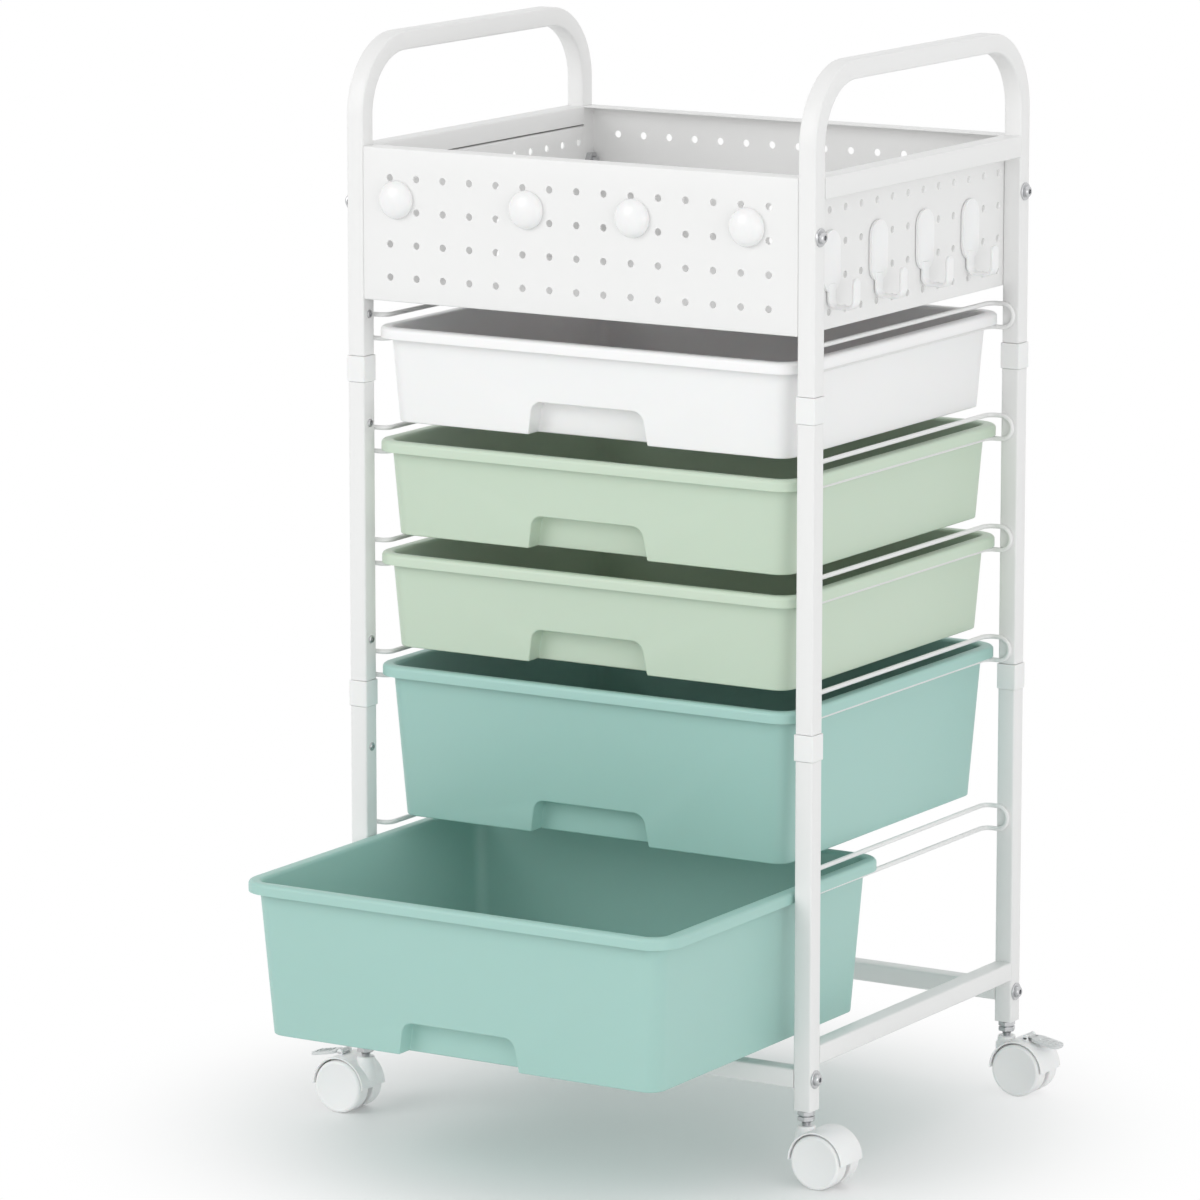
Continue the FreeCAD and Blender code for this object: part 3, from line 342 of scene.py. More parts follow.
def new_group(name, inputs, outputs):
    """An empty shader node group with its sockets; inputs are (name, type, default)."""
    tree = bpy.data.node_groups.new(name, "ShaderNodeTree")
    for label, kind, default in inputs:
        socket = tree.interface.new_socket(label, in_out="INPUT", socket_type=kind)
        socket.default_value = default
    for label, kind in outputs:
        tree.interface.new_socket(label, in_out="OUTPUT", socket_type=kind)
    return tree, tree.nodes.new("NodeGroupInput"), tree.nodes.new("NodeGroupOutput")


def noise_of(tree, scale, detail):
    """Noise over the piece's own coordinates, with a linked or plain scale."""
    coordinates = tree.nodes.new("ShaderNodeTexCoord")
    noise = tree.nodes.new("ShaderNodeTexNoise")
    preset(noise, Detail=detail)
    feed(
        tree, (coordinates.outputs["Object"], noise.inputs["Vector"]),
        (scale, noise.inputs["Scale"]),
    )
    return noise.outputs["Fac"]


def grain_group():
    """Fine and coarse relief of a coat or a moulded skin, as one height."""
    tree, given, result = new_group(
        "Skin relief",
        [
            ("Fine", "NodeSocketFloat", 900.0),
            ("Coarse", "NodeSocketFloat", 60.0),
            ("Waviness", "NodeSocketFloat", 0.5),
        ],
        [("Height", "NodeSocketFloat")],
    )
    fine = noise_of(tree, given.outputs["Fine"], 2.0)
    coarse = noise_of(tree, given.outputs["Coarse"], 1.0)
    blend = operation_node(tree, "MULTIPLY_ADD")
    feed(
        tree, (coarse, blend.inputs[0]), (given.outputs["Waviness"], blend.inputs[1]),
        (fine, blend.inputs[2]), (blend.outputs[0], result.inputs["Height"]),
    )
    return tree


def drift_group():
    """Slow change of colour over a piece, and a mask of the same drift."""
    tree, given, result = new_group(
        "Colour drift",
        [
            ("Colour", "NodeSocketColor", (0.8, 0.8, 0.8, 1.0)),
            ("Shade", "NodeSocketColor", (0.7, 0.7, 0.7, 1.0)),
            ("Patch size", "NodeSocketFloat", 7.0),
        ],
        [("Colour", "NodeSocketColor"), ("Mask", "NodeSocketFloat")],
    )
    noise = noise_of(tree, given.outputs["Patch size"], 3.0)
    blend = tree.nodes.new("ShaderNodeMix")
    blend.data_type = "RGBA"
    feed(
        tree, (noise, blend.inputs["Factor"]), (given.outputs["Colour"], blend.inputs["A"]),
        (given.outputs["Shade"], blend.inputs["B"]),
        (blend.outputs["Result"], result.inputs["Colour"]), (noise, result.inputs["Mask"]),
    )
    return tree


def edge_highlight_group():
    """Mask of a piece's edges, from how far a rounded normal leaves the true one; the finishes paint a highlight
    along it.
    """
    tree, given, result = new_group(
        "Edge highlight mask",
        [("Width", "NodeSocketFloat", 0.001), ("Strength", "NodeSocketFloat", 1.0)],
        [("Mask", "NodeSocketFloat")],
    )
    soft = tree.nodes.new("ShaderNodeBevel")
    soft.samples = 4
    geometry = tree.nodes.new("ShaderNodeNewGeometry")
    dot = operation_node(tree, "DOT_PRODUCT", "ShaderNodeVectorMath")
    turned_away = operation_node(tree, "SUBTRACT")
    turned_away.inputs[0].default_value = 1.0
    scaled = operation_node(tree, "MULTIPLY")
    scaled.use_clamp = True
    feed(
        tree, (given.outputs["Width"], soft.inputs["Radius"]),
        (soft.outputs["Normal"], dot.inputs[0]), (geometry.outputs["Normal"], dot.inputs[1]),
        (dot.outputs["Value"], turned_away.inputs[1]), (turned_away.outputs[0], scaled.inputs[0]),
        (given.outputs["Strength"], scaled.inputs[1]), (scaled.outputs[0], result.inputs["Mask"]),
    )
    return tree


GROUPS = {}


def effect(tree, name, **values):
    """Places a shared effect in a material, with its own values."""
    makers = {"Skin relief": grain_group, "Colour drift": drift_group, "Edge highlight mask": edge_highlight_group}
    if name not in GROUPS:
        GROUPS[name] = makers[name]()
    node = tree.nodes.new("ShaderNodeGroup")
    node.node_tree = GROUPS[name]
    preset(node, **values)
    return node


# Finishes
def finish(name, base, shade, roughness, relief, patch=7.0):
    """A coated or moulded finish: drifting colour, a painted highlight along the edges and fine relief."""
    material = bpy.data.materials.new(name)
    material.use_nodes = True
    tree = material.node_tree
    shader = tree.nodes["Principled BSDF"]
    dark = [channel * shade for channel in base]
    drift = effect(
        tree, "Colour drift", Colour=(*base, 1.0), Shade=(*dark, 1.0), Patch_size=patch
    )
    # Painted highlight: the base colour is lightened along the edges to stand in for light catching them.
    edges = effect(tree, "Edge highlight mask", Width=0.0012, Strength=1.2)
    painted_highlight = tree.nodes.new("ShaderNodeMix")
    painted_highlight.data_type = "RGBA"
    highlight_colour = [min(1.0, channel * 1.12 + 0.02) for channel in base]
    preset(painted_highlight, B=(*highlight_colour, 1.0))
    feed(
        tree, (edges.outputs["Mask"], painted_highlight.inputs["Factor"]),
        (drift.outputs["Colour"], painted_highlight.inputs["A"]),
        (painted_highlight.outputs["Result"], shader.inputs["Base Color"]),
    )
    spread = tree.nodes.new("ShaderNodeMapRange")
    preset(spread, To_Min=roughness[0], To_Max=roughness[1])
    feed(
        tree, (drift.outputs["Mask"], spread.inputs["Value"]),
        (spread.outputs["Result"], shader.inputs["Roughness"]),
    )
    fine, coarse, waviness, depth = relief
    grain = effect(tree, "Skin relief", Fine=fine, Coarse=coarse, Waviness=waviness)
    bump = tree.nodes.new("ShaderNodeBump")
    preset(bump, Strength=1.0, Distance=depth)
    feed(
        tree, (grain.outputs["Height"], bump.inputs["Height"]),
        (bump.outputs["Normal"], shader.inputs["Normal"]),
    )
    return material, shader


def powder_coat(base):
    material, shader = finish(
        "Powder coat", base, 0.985, (0.40, 0.48), (750.0, 140.0, 0.8, 0.00003)
    )
    preset(shader, Coat_Weight=0.12, Coat_Roughness=0.25)
    return material


def moulded(name, base, roughness=(0.36, 0.46), depth=0.00002):
    material, shader = finish(name, base, 0.975, roughness, (1900.0, 90.0, 0.6, depth), 5.0)
    preset(shader, Subsurface_Weight=0.04, Subsurface_Scale=0.004)
    return material


def zinc_plate(base):
    material, shader = finish(
        "Zinc plate", base, 0.86, (0.24, 0.42), (2600.0, 300.0, 0.5, 0.00002), 220.0
    )
    preset(shader, Metallic=1.0)
    return material


def clear_plastic(base):
    material, shader = finish(
        "Clear plastic", base, 0.97, (0.30, 0.38), (600.0, 90.0, 0.5, 0.000004)
    )
    preset(shader, Transmission_Weight=0.25, IOR=1.49)
    return material


FINISHES = {}


def finish_of(slot):
    """The material of one of the record's slots, made when it is first asked for."""
    colours = bpy.context.scene.cart_colours
    makers = {
        "frame_white": lambda: powder_coat(colours.powder),
        "zinc_plated": lambda: zinc_plate(colours.zinc),
        "connector_white": lambda: moulded("Collar plastic", colours.connector),
        "magnet_white": lambda: moulded("Magnet plastic", colours.magnet, (0.16, 0.24), 0.000008),
        "hook_white": lambda: moulded("Hook plastic", colours.hook, (0.28, 0.36)),
        "drawer_white": lambda: moulded("White drawer plastic", colours.white),
        "drawer_green": lambda: moulded("Sage drawer plastic", colours.sage),
        "drawer_teal": lambda: moulded("Teal drawer plastic", colours.teal),
        "caster_white": lambda: moulded("Caster plastic", colours.caster, (0.24, 0.34), 0.00001),
        "wheel_white": lambda: moulded("Wheel plastic", colours.caster, (0.32, 0.42), 0.00001),
        "pedal_clear": lambda: clear_plastic(colours.pedal),
    }
    if slot not in FINISHES:
        FINISHES[slot] = makers[slot]()
    return FINISHES[slot]


class CART_OT_node_finishes(bpy.types.Operator):
    """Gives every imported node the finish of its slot."""

    bl_idname = "cart.node_finishes"
    bl_label = "Node finishes"

    def execute(self, context):
        for part in frame["record"]["subparts"]:
            node = frame["nodes"][part["node"]]
            for slot in node.material_slots:
                slot.material = finish_of(part["material_slot"])
        return {"FINISHED"}


# Steel tube
def tube(node, start, travel):
    """A straight length of square tube that replaces its node."""
    sizes = bpy.context.scene.cart_sizes
    low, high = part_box(node)
    width = min(high - low)
    mesh = bmesh.new()
    place = facing(*start, travel)
    face = rounded_face(mesh, width, width, sizes.tube_corner, 3, place)
    end = draw_out(mesh, face, travel)
    take_off(mesh, face, end)
    steel(mesh, node, "_tube", wall=sizes.tube_wall, edge=TUBE_EDGE)


class CART_OT_posts(bpy.types.Operator):
    """Lower and middle sections of the four posts."""

    bl_idname = "cart.posts"
    bl_label = "Posts"

    def execute(self, context):
        for section in ("lower_post", "middle_post"):
            for corner in CORNERS:
                node = f"{section}_{corner}"
                low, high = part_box(node)
                centre = middle(node)
                start = (centre.x, centre.y, low.z)
                tube(node, start, Vector((0, 0, high.z - low.z)))
        return {"FINISHED"}


class CART_OT_beams(bpy.types.Operator):
    """Beams between the posts' feet."""

    bl_idname = "cart.beams"
    bl_label = "Base beams"

    def execute(self, context):
        for side in ("front", "rear", "left", "right"):
            node = "base_beam_" + side
            low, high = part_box(node)
            centre = middle(node)
            if side in SIDES:
                start = (centre.x, low.y, centre.z)
                travel = Vector((0, high.y - low.y, 0))
            else:
                start = (low.x, centre.y, centre.z)
                travel = Vector((high.x - low.x, 0, 0))
            tube(node, start, travel)
        return {"FINISHED"}


class CART_OT_handles(bpy.types.Operator):
    """Handle loops bent from square tube."""

    bl_idname = "cart.handles"
    bl_label = "Handle loops"

    def execute(self, context):
        sizes = context.scene.cart_sizes
        bend = sizes.loop_radius
        for side in SIDES:
            node = "handle_loop_" + side
            low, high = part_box(node)
            width = high.x - low.x
            x = middle(node).x
            mesh = bmesh.new()
            start = rounded_face(
                mesh, width, width, sizes.tube_corner, 3, at(x, low.y + width / 2, low.z)
            )
            end = draw_out(mesh, start, Vector((0, 0, high.z - bend - low.z)))
            end = turn_out(mesh, end, (x, low.y + bend, high.z - bend), -X_AXIS, QUARTER, 20)
            end = draw_out(mesh, end, Vector((0, high.y - low.y - 2 * bend, 0)))
            end = turn_out(mesh, end, (x, high.y - bend, high.z - bend), -X_AXIS, QUARTER, 20)
            end = draw_out(mesh, end, Vector((0, 0, low.z + bend - high.z)))
            take_off(mesh, start, end)
            steel(mesh, node, "_tube", wall=sizes.tube_wall, edge=TUBE_EDGE)
        return {"FINISHED"}


class CART_OT_connectors(bpy.types.Operator):
    """Collars between the tube sections, with their plugs."""

    bl_idname = "cart.connectors"
    bl_label = "Connectors"

    def execute(self, context):
        sizes = context.scene.cart_sizes
        joint = 0.35 * MM
        mesh = bmesh.new()
        for corner in CORNERS:
            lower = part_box("lower_post_" + corner)[1].z
            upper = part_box("middle_post_" + corner)[1].z
            centre = middle("middle_post_" + corner)
            for foot in (lower, upper):
                place = at(centre.x, centre.y, foot + joint)
                slab(
                    mesh, sizes.collar_width, sizes.collar_width,
                    sizes.collar_height - 2 * joint, 1.4 * MM, place,
                )
                plug = at(centre.x, centre.y, foot - PLUG_BELOW)
                slab(mesh, sizes.plug_width, sizes.plug_width, PLUG_LENGTH, 0.8 * MM, plug)
        add_piece(
            mesh, "post_connectors", "frame", "connector_white", ["tube_connectors"],
            edge=0.45 * MM,
        )
        return {"FINISHED"}


# Tray
def hole_sheet(mesh, columns, rows, pitch, rise, hole):
    """A flat sheet with round holes: one cell, bridged from circle to square, repeated."""
    bmesh.ops.create_circle(mesh, cap_ends=False, radius=hole / 2, segments=16)
    square = bmesh.ops.create_circle(
        mesh, cap_ends=False, radius=math.sqrt(0.5), segments=4
    )["verts"]
    turn = Matrix.Rotation(math.radians(45), 3, "Z")
    bmesh.ops.rotate(mesh, cent=(0, 0, 0), matrix=turn, verts=square)
    bmesh.ops.scale(mesh, vec=(pitch, rise, 1), verts=square)
    sides = list({edge for vert in square for edge in vert.link_edges})
    bmesh.ops.subdivide_edges(mesh, edges=sides, cuts=3)
    bmesh.ops.bridge_loops(mesh, edges=mesh.edges[:])
    corner = Vector((-(columns - 1) / 2 * pitch, -(rows - 1) / 2 * rise, 0))
    bmesh.ops.translate(mesh, vec=corner, verts=mesh.verts[:])
    cell = mesh.verts[:] + mesh.edges[:] + mesh.faces[:]
    for column in range(columns):
        for row in range(rows):
            if column or row:
                made = bmesh.ops.duplicate(mesh, geom=cell)["geom"]
                verts = of_kind(made, bmesh.types.BMVert)
                bmesh.ops.translate(mesh, vec=(column * pitch, row * rise, 0), verts=verts)
    bmesh.ops.remove_doubles(mesh, verts=mesh.verts, dist=0.01 * MM)


def fit_sheet(mesh, half, top, foot):
    """Moves the sheet's outermost vertices to its two ends, its top and its foot."""
    for axis, sign, place in ((0, 1, half), (0, -1, -half), (1, 1, top), (1, -1, foot)):
        far = max(sign * vert.co[axis] for vert in mesh.verts)
        verts = [vert for vert in mesh.verts if sign * vert.co[axis] > far - 0.05 * MM]
        travel = Vector((0, 0, 0))
        travel[axis] = place - sign * far
        bmesh.ops.translate(mesh, vec=travel, verts=verts)


def border(mesh, axis, sign):
    """Edges that lie along one side of the sheet."""
    far = max(sign * vert.co[axis] for vert in mesh.verts)
    return [
        edge for edge in mesh.edges
        if all(sign * vert.co[axis] > far - 0.05 * MM for vert in edge.verts)
    ]


class CART_OT_tray(bpy.types.Operator):
    """Perforated panels round the tray, and its floor."""

    bl_idname = "cart.tray"
    bl_label = "Tray"

    def execute(self, context):
        self.end_panels(context.scene.cart_sizes)
        self.side_panels(context.scene.cart_sizes)
        self.floor()
        return {"FINISHED"}

    def end_panels(self, sizes):
        """Front and rear panels, folded back all round."""
        for side, sign in (("front", -1), ("rear", 1)):
            node = "tray_panel_" + side
            low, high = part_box(node)
            half = (high.x - low.x) / 2
            rows_middle = sizes.front_row + 1.5 * sizes.hole_rise
            mesh = bmesh.new()
            hole_sheet(
                mesh, FRONT_COLUMNS, ROWS, sizes.front_pitch, sizes.hole_rise, sizes.hole
            )
            fit_sheet(mesh, half, high.z - low.z - rows_middle, -rows_middle)
            rim = list({
                edge for axis in (0, 1) for way in (-1, 1) for edge in border(mesh, axis, way)
            })
            draw_edges(mesh, rim, Vector((0, 0, low.y - high.y)))
            face_y = low.y if sign < 0 else high.y
            place = facing(0, face_y, low.z + rows_middle, (0, sign, 0))
            self.folded(mesh, sizes, node, place)

    def side_panels(self, sizes):
        """Side panels, folded in below and to a hollow box along the top."""
        for side, sign in SIDES.items():
            node = "tray_panel_" + side
            low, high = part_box(node)
            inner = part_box("tray_panel_front")[1].x
            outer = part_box("handle_loop_right")[1].x
            half = (high.y - low.y) / 2
            rows_middle = sizes.side_row + 1.5 * sizes.hole_rise
            fold = high.z - low.z - sizes.top_rail
            mesh = bmesh.new()
            hole_sheet(mesh, SIDE_COLUMNS, ROWS, sizes.side_pitch, sizes.hole_rise, sizes.hole)
            fit_sheet(mesh, half, fold - rows_middle, -rows_middle)
            foot = border(mesh, 1, -1)
            top = border(mesh, 1, 1)
            draw_edges(mesh, foot, Vector((0, 0, inner - outer)))
            box = outer - inner
            for travel in ((0, 0, box), (0, sizes.top_rail, 0), (0, 0, -box - sizes.sheet),
                           (0, 2 * sizes.sheet - sizes.top_rail, 0)):
                top = draw_edges(mesh, top, Vector(travel))
            place = facing(sign * inner, middle(node).y, low.z + rows_middle, (sign, 0, 0))
            self.folded(mesh, sizes, node, place)

    def folded(self, mesh, sizes, node, place):
        """Puts a panel in place, rounds its folds and gives it its thickness."""
        bmesh.ops.transform(mesh, matrix=place, verts=mesh.verts)
        round_edges(mesh, sizes.fold, 3)
        steel(mesh, node, "_sheet", wall=sizes.sheet, edge=0.15 * MM, segments=1)

    def floor(self):
        """Sheet that lies on the panels' lower folds."""
        low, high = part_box("tray_floor")
        mesh = bmesh.new()
        centre = middle("tray_floor")
        place = at(centre.x, centre.y, low.z)
        slab(mesh, high.x - low.x, high.y - low.y, high.z - low.z, 1.5 * MM, place)
        steel(mesh, "tray_floor", "_sheet", edge=0.3 * MM)


# Rails
class CART_OT_rails(bpy.types.Operator):
    """Wire loops that carry the drawers."""

    bl_idname = "cart.rails"
    bl_label = "Rails"

    def execute(self, context):
        for number in range(1, 6):
            for side, sign in SIDES.items():
                self.rail(context.scene.cart_sizes, f"rail_{number}_{side}", sign)
        return {"FINISHED"}

    def rail(self, sizes, node, sign):
        """Half a rail, from the middle of its lower run to that of its upper one, mirrored."""
        low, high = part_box(node)
        radius = sizes.wire / 2
        bend = sizes.wire_bend
        up = 9.9 * MM
        inside = min(abs(low.x), abs(high.x)) + radius
        nose = max(abs(low.x), abs(high.x)) - radius - up
        end = (high.y - low.y) / 2 - radius
        mesh = bmesh.new()
        verts = bmesh.ops.create_circle(mesh, cap_ends=True, radius=radius, segments=12)["verts"]
        bmesh.ops.transform(mesh, matrix=facing(inside, 0, -up, (0, -1, 0)), verts=verts)
        start = mesh.faces[:][0]
        face = draw_out(mesh, start, Vector((0, bend - end, 0)))
        face = turn_out(mesh, face, (inside + bend, bend - end, 0), Z_AXIS, QUARTER, 6)
        face = draw_out(mesh, face, Vector((nose - inside - bend, 0, 0)))
        face = turn_out(mesh, face, (nose, 0, 0), -Y_AXIS, 2 * QUARTER, 12)
        face = draw_out(mesh, face, Vector((inside + bend - nose, 0, 0)))
        face = turn_out(mesh, face, (inside + bend, bend - end, 0), -Z_AXIS, QUARTER, 6)
        face = draw_out(mesh, face, Vector((0, end - bend, 0)))
        take_off(mesh, start, face)
        half = mesh.verts[:] + mesh.edges[:] + mesh.faces[:]
        bmesh.ops.mirror(mesh, geom=half, axis="Y", merge_dist=0.01 * MM)
        bmesh.ops.scale(mesh, vec=(sign, 1, 1), verts=mesh.verts)
        centre = middle(node)
        bmesh.ops.translate(mesh, vec=(0, centre.y, centre.z), verts=mesh.verts)
        steel(mesh, node, "_wire")


# Drawers
class CART_OT_drawers(bpy.types.Operator):
    """Moulded drawers with a turned-down rim and a finger notch."""

    bl_idname = "cart.drawers"
    bl_label = "Drawers"

    def execute(self, context):
        slots = ("drawer_white", "drawer_green", "drawer_green", "drawer_teal", "drawer_teal")
        for number, slot in enumerate(slots, start=1):
            self.drawer(context.scene.cart_sizes, number, slot)
        return {"FINISHED"}

    def drawer(self, sizes, number, slot):
        """Skin of the tub's outside, the rim's underside and the lip's inside, given its wall."""
        node = f"drawer_{number}"
        low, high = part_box(node)
        wall = sizes.drawer_wall
        taper = sizes.tub_taper * (high.z - low.z)
        front = low.y + sizes.rim_front
        rear = high.y - sizes.rim_rear
        half = (high.x - low.x) / 2 - sizes.rim_side
        shoulder = high.z - wall
        mesh = bmesh.new()
        floor = rounded_face(
            mesh, 2 * (half - taper), rear - front - 2 * taper, sizes.tub_corner, 8,
            at(0, (front + rear) / 2, low.z),
        )
        top = rounded_face(
            mesh, 2 * half, rear - front, sizes.tub_corner, 8, at(0, (front + rear) / 2, shoulder)
        )
        bmesh.ops.bridge_loops(mesh, edges=floor.edges[:] + top.edges[:])
        take_off(mesh, top)
        face_out(mesh)
        self.grip(mesh, sizes, front + taper, low.z)
        brim = [edge for edge in mesh.edges if edge.is_boundary]
        rim = rounded_face(
            mesh, high.x - low.x - 2 * wall, high.y - low.y - 2 * wall, sizes.rim_corner - wall, 8,
            at(0, (low.y + high.y) / 2, shoulder),
        )
        rim_edges = rim.edges[:]
        take_off(mesh, rim)
        join_rings(mesh, brim, rim_edges, (low.y + high.y) / 2)
        draw_edges(mesh, rim_edges, Vector((0, 0, wall - sizes.rim_height)))
        round_edges(mesh, sizes.drawer_edge)
        add_piece(
            mesh, node + "_tub", node + "_body", slot, [node], wall=wall, edge=0.35 * MM
        )
        self.guides(sizes, node, slot, half, front, rear, shoulder)

    def grip(self, mesh, sizes, front, bottom):
        """Opens a finger notch in the foot of the front wall, and closes it with its own walls."""
        top = bottom + sizes.grip_height
        back = front + sizes.grip_depth
        lean = (sizes.grip_width - sizes.grip_top) / 2 / sizes.grip_height
        for side in (-1, 1):
            for direction in (-Y_AXIS, -Z_AXIS):
                face = self.middle_face(mesh, direction)
                self.cut(mesh, face, (side * sizes.grip_width / 2, 0, bottom), (side, 0, lean))
        self.cut(mesh, self.middle_face(mesh, -Y_AXIS), (0, 0, top), Z_AXIS)
        self.cut(mesh, self.middle_face(mesh, -Z_AXIS), (0, back, 0), Y_AXIS)
        opening = self.middle_face(mesh, -Y_AXIS, lowest=True)
        mouth = self.middle_face(mesh, -Z_AXIS, lowest=True)
        bmesh.ops.delete(mesh, geom=[opening, mouth], context="FACES")
        flat = [
            edge for edge in mesh.edges
            if len(edge.link_faces) == 2 and edge.calc_face_angle() < math.radians(0.5)
        ]
        bmesh.ops.dissolve_edges(mesh, edges=flat)
        straight = [
            vert for vert in mesh.verts
            if len(vert.link_edges) == 2 and vert.calc_edge_angle() < math.radians(0.5)
        ]
        bmesh.ops.dissolve_verts(mesh, verts=straight)
        outline = [
            edge for edge in mesh.edges
            if edge.is_boundary and all(vert.co.z < top + MM for vert in edge.verts)
            and all(vert.co.y < front + MM for vert in edge.verts)
        ]
        made = bmesh.ops.extrude_edge_only(mesh, edges=outline)["geom"]
        verts = of_kind(made, bmesh.types.BMVert)
        bmesh.ops.scale(mesh, vec=(1, 0, 1), space=at(0, -back, 0), verts=verts)
        bmesh.ops.remove_doubles(mesh, verts=mesh.verts, dist=0.01 * MM)
        inside = [
            edge for edge in mesh.edges
            if edge.is_boundary and all(vert.co.z < top + MM for vert in edge.verts)
        ]
        bmesh.ops.contextual_create(mesh, geom=inside)
        corners = [
            edge for edge in mesh.edges
            if all(abs(vert.co.z - top) < 0.01 * MM for vert in edge.verts)
            and abs(edge.verts[0].co.x - edge.verts[1].co.x) < 0.01 * MM
        ]
        rounding(mesh, corners, sizes.grip_corner, 6)

    def middle_face(self, mesh, direction, lowest=False):
        """The widest face across the middle that looks one way, or the nearest to the foot."""
        mesh.normal_update()
        faces = [
            face for face in mesh.faces
            if face.normal.dot(direction) > 0.9
            and min(vert.co.x for vert in face.verts) < 0 < max(vert.co.x for vert in face.verts)
        ]
        if lowest:
            return min(faces, key=lambda face: face.calc_center_median().dot(Vector((0, 1, 1))))
        return max(faces, key=lambda face: face.calc_area())

    def cut(self, mesh, face, point, normal):
        """Cuts one face along a plane."""
        bmesh.ops.bisect_plane(
            mesh, geom=[face, *face.edges, *face.verts], dist=0.001 * MM,
            plane_co=point, plane_no=normal,
        )

    def guides(self, sizes, node, slot, half, front, rear, shoulder):
        """Strips under the side flanges that run along the lower wires."""
        mesh = bmesh.new()
        reach = sizes.rim_corner
        drop = sizes.rim_height - sizes.drawer_wall + 0.3 * MM
        for side in (-1, 1):
            x = side * (half + 2.7 * MM)
            place = at(x, (front + rear) / 2, shoulder - drop)
            slab(mesh, 1.6 * MM, rear - front - 2 * reach, drop, 0.6 * MM, place)
        add_piece(mesh, node + "_guides", node + "_body", slot)


# What hangs on the tray
class CART_OT_magnets(bpy.types.Operator):
    """Domed magnets on the front panel."""

    bl_idname = "cart.magnets"
    bl_label = "Magnets"

    def execute(self, context):
        low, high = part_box("panel_magnets")
        pitch = context.scene.cart_sizes.front_pitch
        radius = (high.z - low.z) / 2
        depth = high.y - low.y
        mesh = bmesh.new()
        profile = [(0, depth)]
        for turn in (12, 24, 36, 48, 60, 72, 82, 90):
            angle = math.radians(turn)
            profile.append((radius * math.sin(angle), depth * (0.16 + 0.84 * math.cos(angle))))
        profile += [(radius, 0.08 * depth), (0.96 * radius, 0), (0, 0)]
        for column in MAGNET_COLUMNS:
            place = facing(column * pitch, high.y, (low.z + high.z) / 2, (0, -1, 0))
            turned(mesh, profile, place, 40)
        add_piece(mesh, "domed_magnets", "frame", "magnet_white", ["panel_magnets"])
        return {"FINISHED"}


class CART_OT_hooks(bpy.types.Operator):
    """Peg hooks on the right panel."""

    bl_idname = "cart.hooks"
    bl_label = "Peg hooks"

    def execute(self, context):
        sizes = context.scene.cart_sizes
        low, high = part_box("peg_hooks")
        panel = middle("tray_panel_right").y
        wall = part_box("tray_panel_front")[1].x
        mesh = bmesh.new()
        for column in HOOK_COLUMNS:
            self.hook(mesh, wall, panel + column * sizes.side_pitch, low.z, high.z, high.x, sizes)
        add_piece(
            mesh, "pegboard_hooks", "frame", "hook_white", ["peg_hooks"],
            edge=0.5 * MM, segments=3, crease=50,
        )
        return {"FINISHED"}

    def hook(self, mesh, wall, y, foot, top, reach, sizes):
        """Long round-ended plate with a raised border, and a flat J that grows out of its foot."""
        plate_height = 50 * MM
        plate_width = 27 * MM
        plate = 3 * MM
        thick = 2.8 * MM
        wide = 10.5 * MM
        gap = 0.5 * MM
        bend = 6.6 * MM
        centre = top - plate_height / 2
        face = rounded_face(
            mesh, plate_width, plate_height, 0.98 * plate_width / 2, 10,
            facing(wall + gap, y, centre, X_AXIS),
        )
        face = draw_out(mesh, face, Vector((plate - gap, 0, 0)))
        bmesh.ops.inset_individual(mesh, faces=[face], thickness=2.8 * MM, depth=-0.9 * MM)
        for step in (-0.5, 0.5):
            seat = facing(wall, y, centre + step * sizes.hole_rise, X_AXIS)
            rod(mesh, 2.3 * MM, -4 * MM, 0, seat, 12, capped=False)
        start = centre - plate_height / 2 + 7 * MM
        x = wall + gap + 0.1 * MM + thick / 2
        root = at(x, y, start) @ Matrix.Rotation(QUARTER, 4, "Z")
        face = rounded_face(mesh, wide, thick, 1.1 * MM, 3, root)
        bend_height = foot + bend + thick / 2
        tip_x = reach - thick / 2
        face = draw_out(mesh, face, Vector((0, 0, bend_height - start)))
        face = turn_out(mesh, face, (x + bend, y, bend_height), -Y_AXIS, QUARTER, 8)
        face = draw_out(mesh, face, Vector((tip_x - x - 2 * bend, 0, 0)))
        face = turn_out(mesh, face, (tip_x - bend, y, bend_height), -Y_AXIS, QUARTER, 8)
        face = draw_out(mesh, face, Vector((0, 0, 22 * MM - bend - thick / 2)))
        for rise, narrow in ((1.6, 0.9), (1.3, 0.78), (0.8, 0.6)):
            face = draw_out(mesh, face, Vector((0, 0, rise * MM)))
            bmesh.ops.scale(mesh, vec=(1, narrow, 1), space=at(0, -y, 0), verts=face.verts)


# Fasteners
def button_head(mesh, place, radius, height, socket):
    """Domed head with a round-cornered six-sided socket, its seat at the place."""
    turned(mesh, [
        (socket, 0.2 * height), (socket, height), (0.72 * radius, height),
        (0.92 * radius, 0.72 * height), (radius, 0.35 * height), (radius, 0),
    ], place, 24)
    turned(mesh, [(0, 0.2 * height), (socket, 0.2 * height)], place, 24)


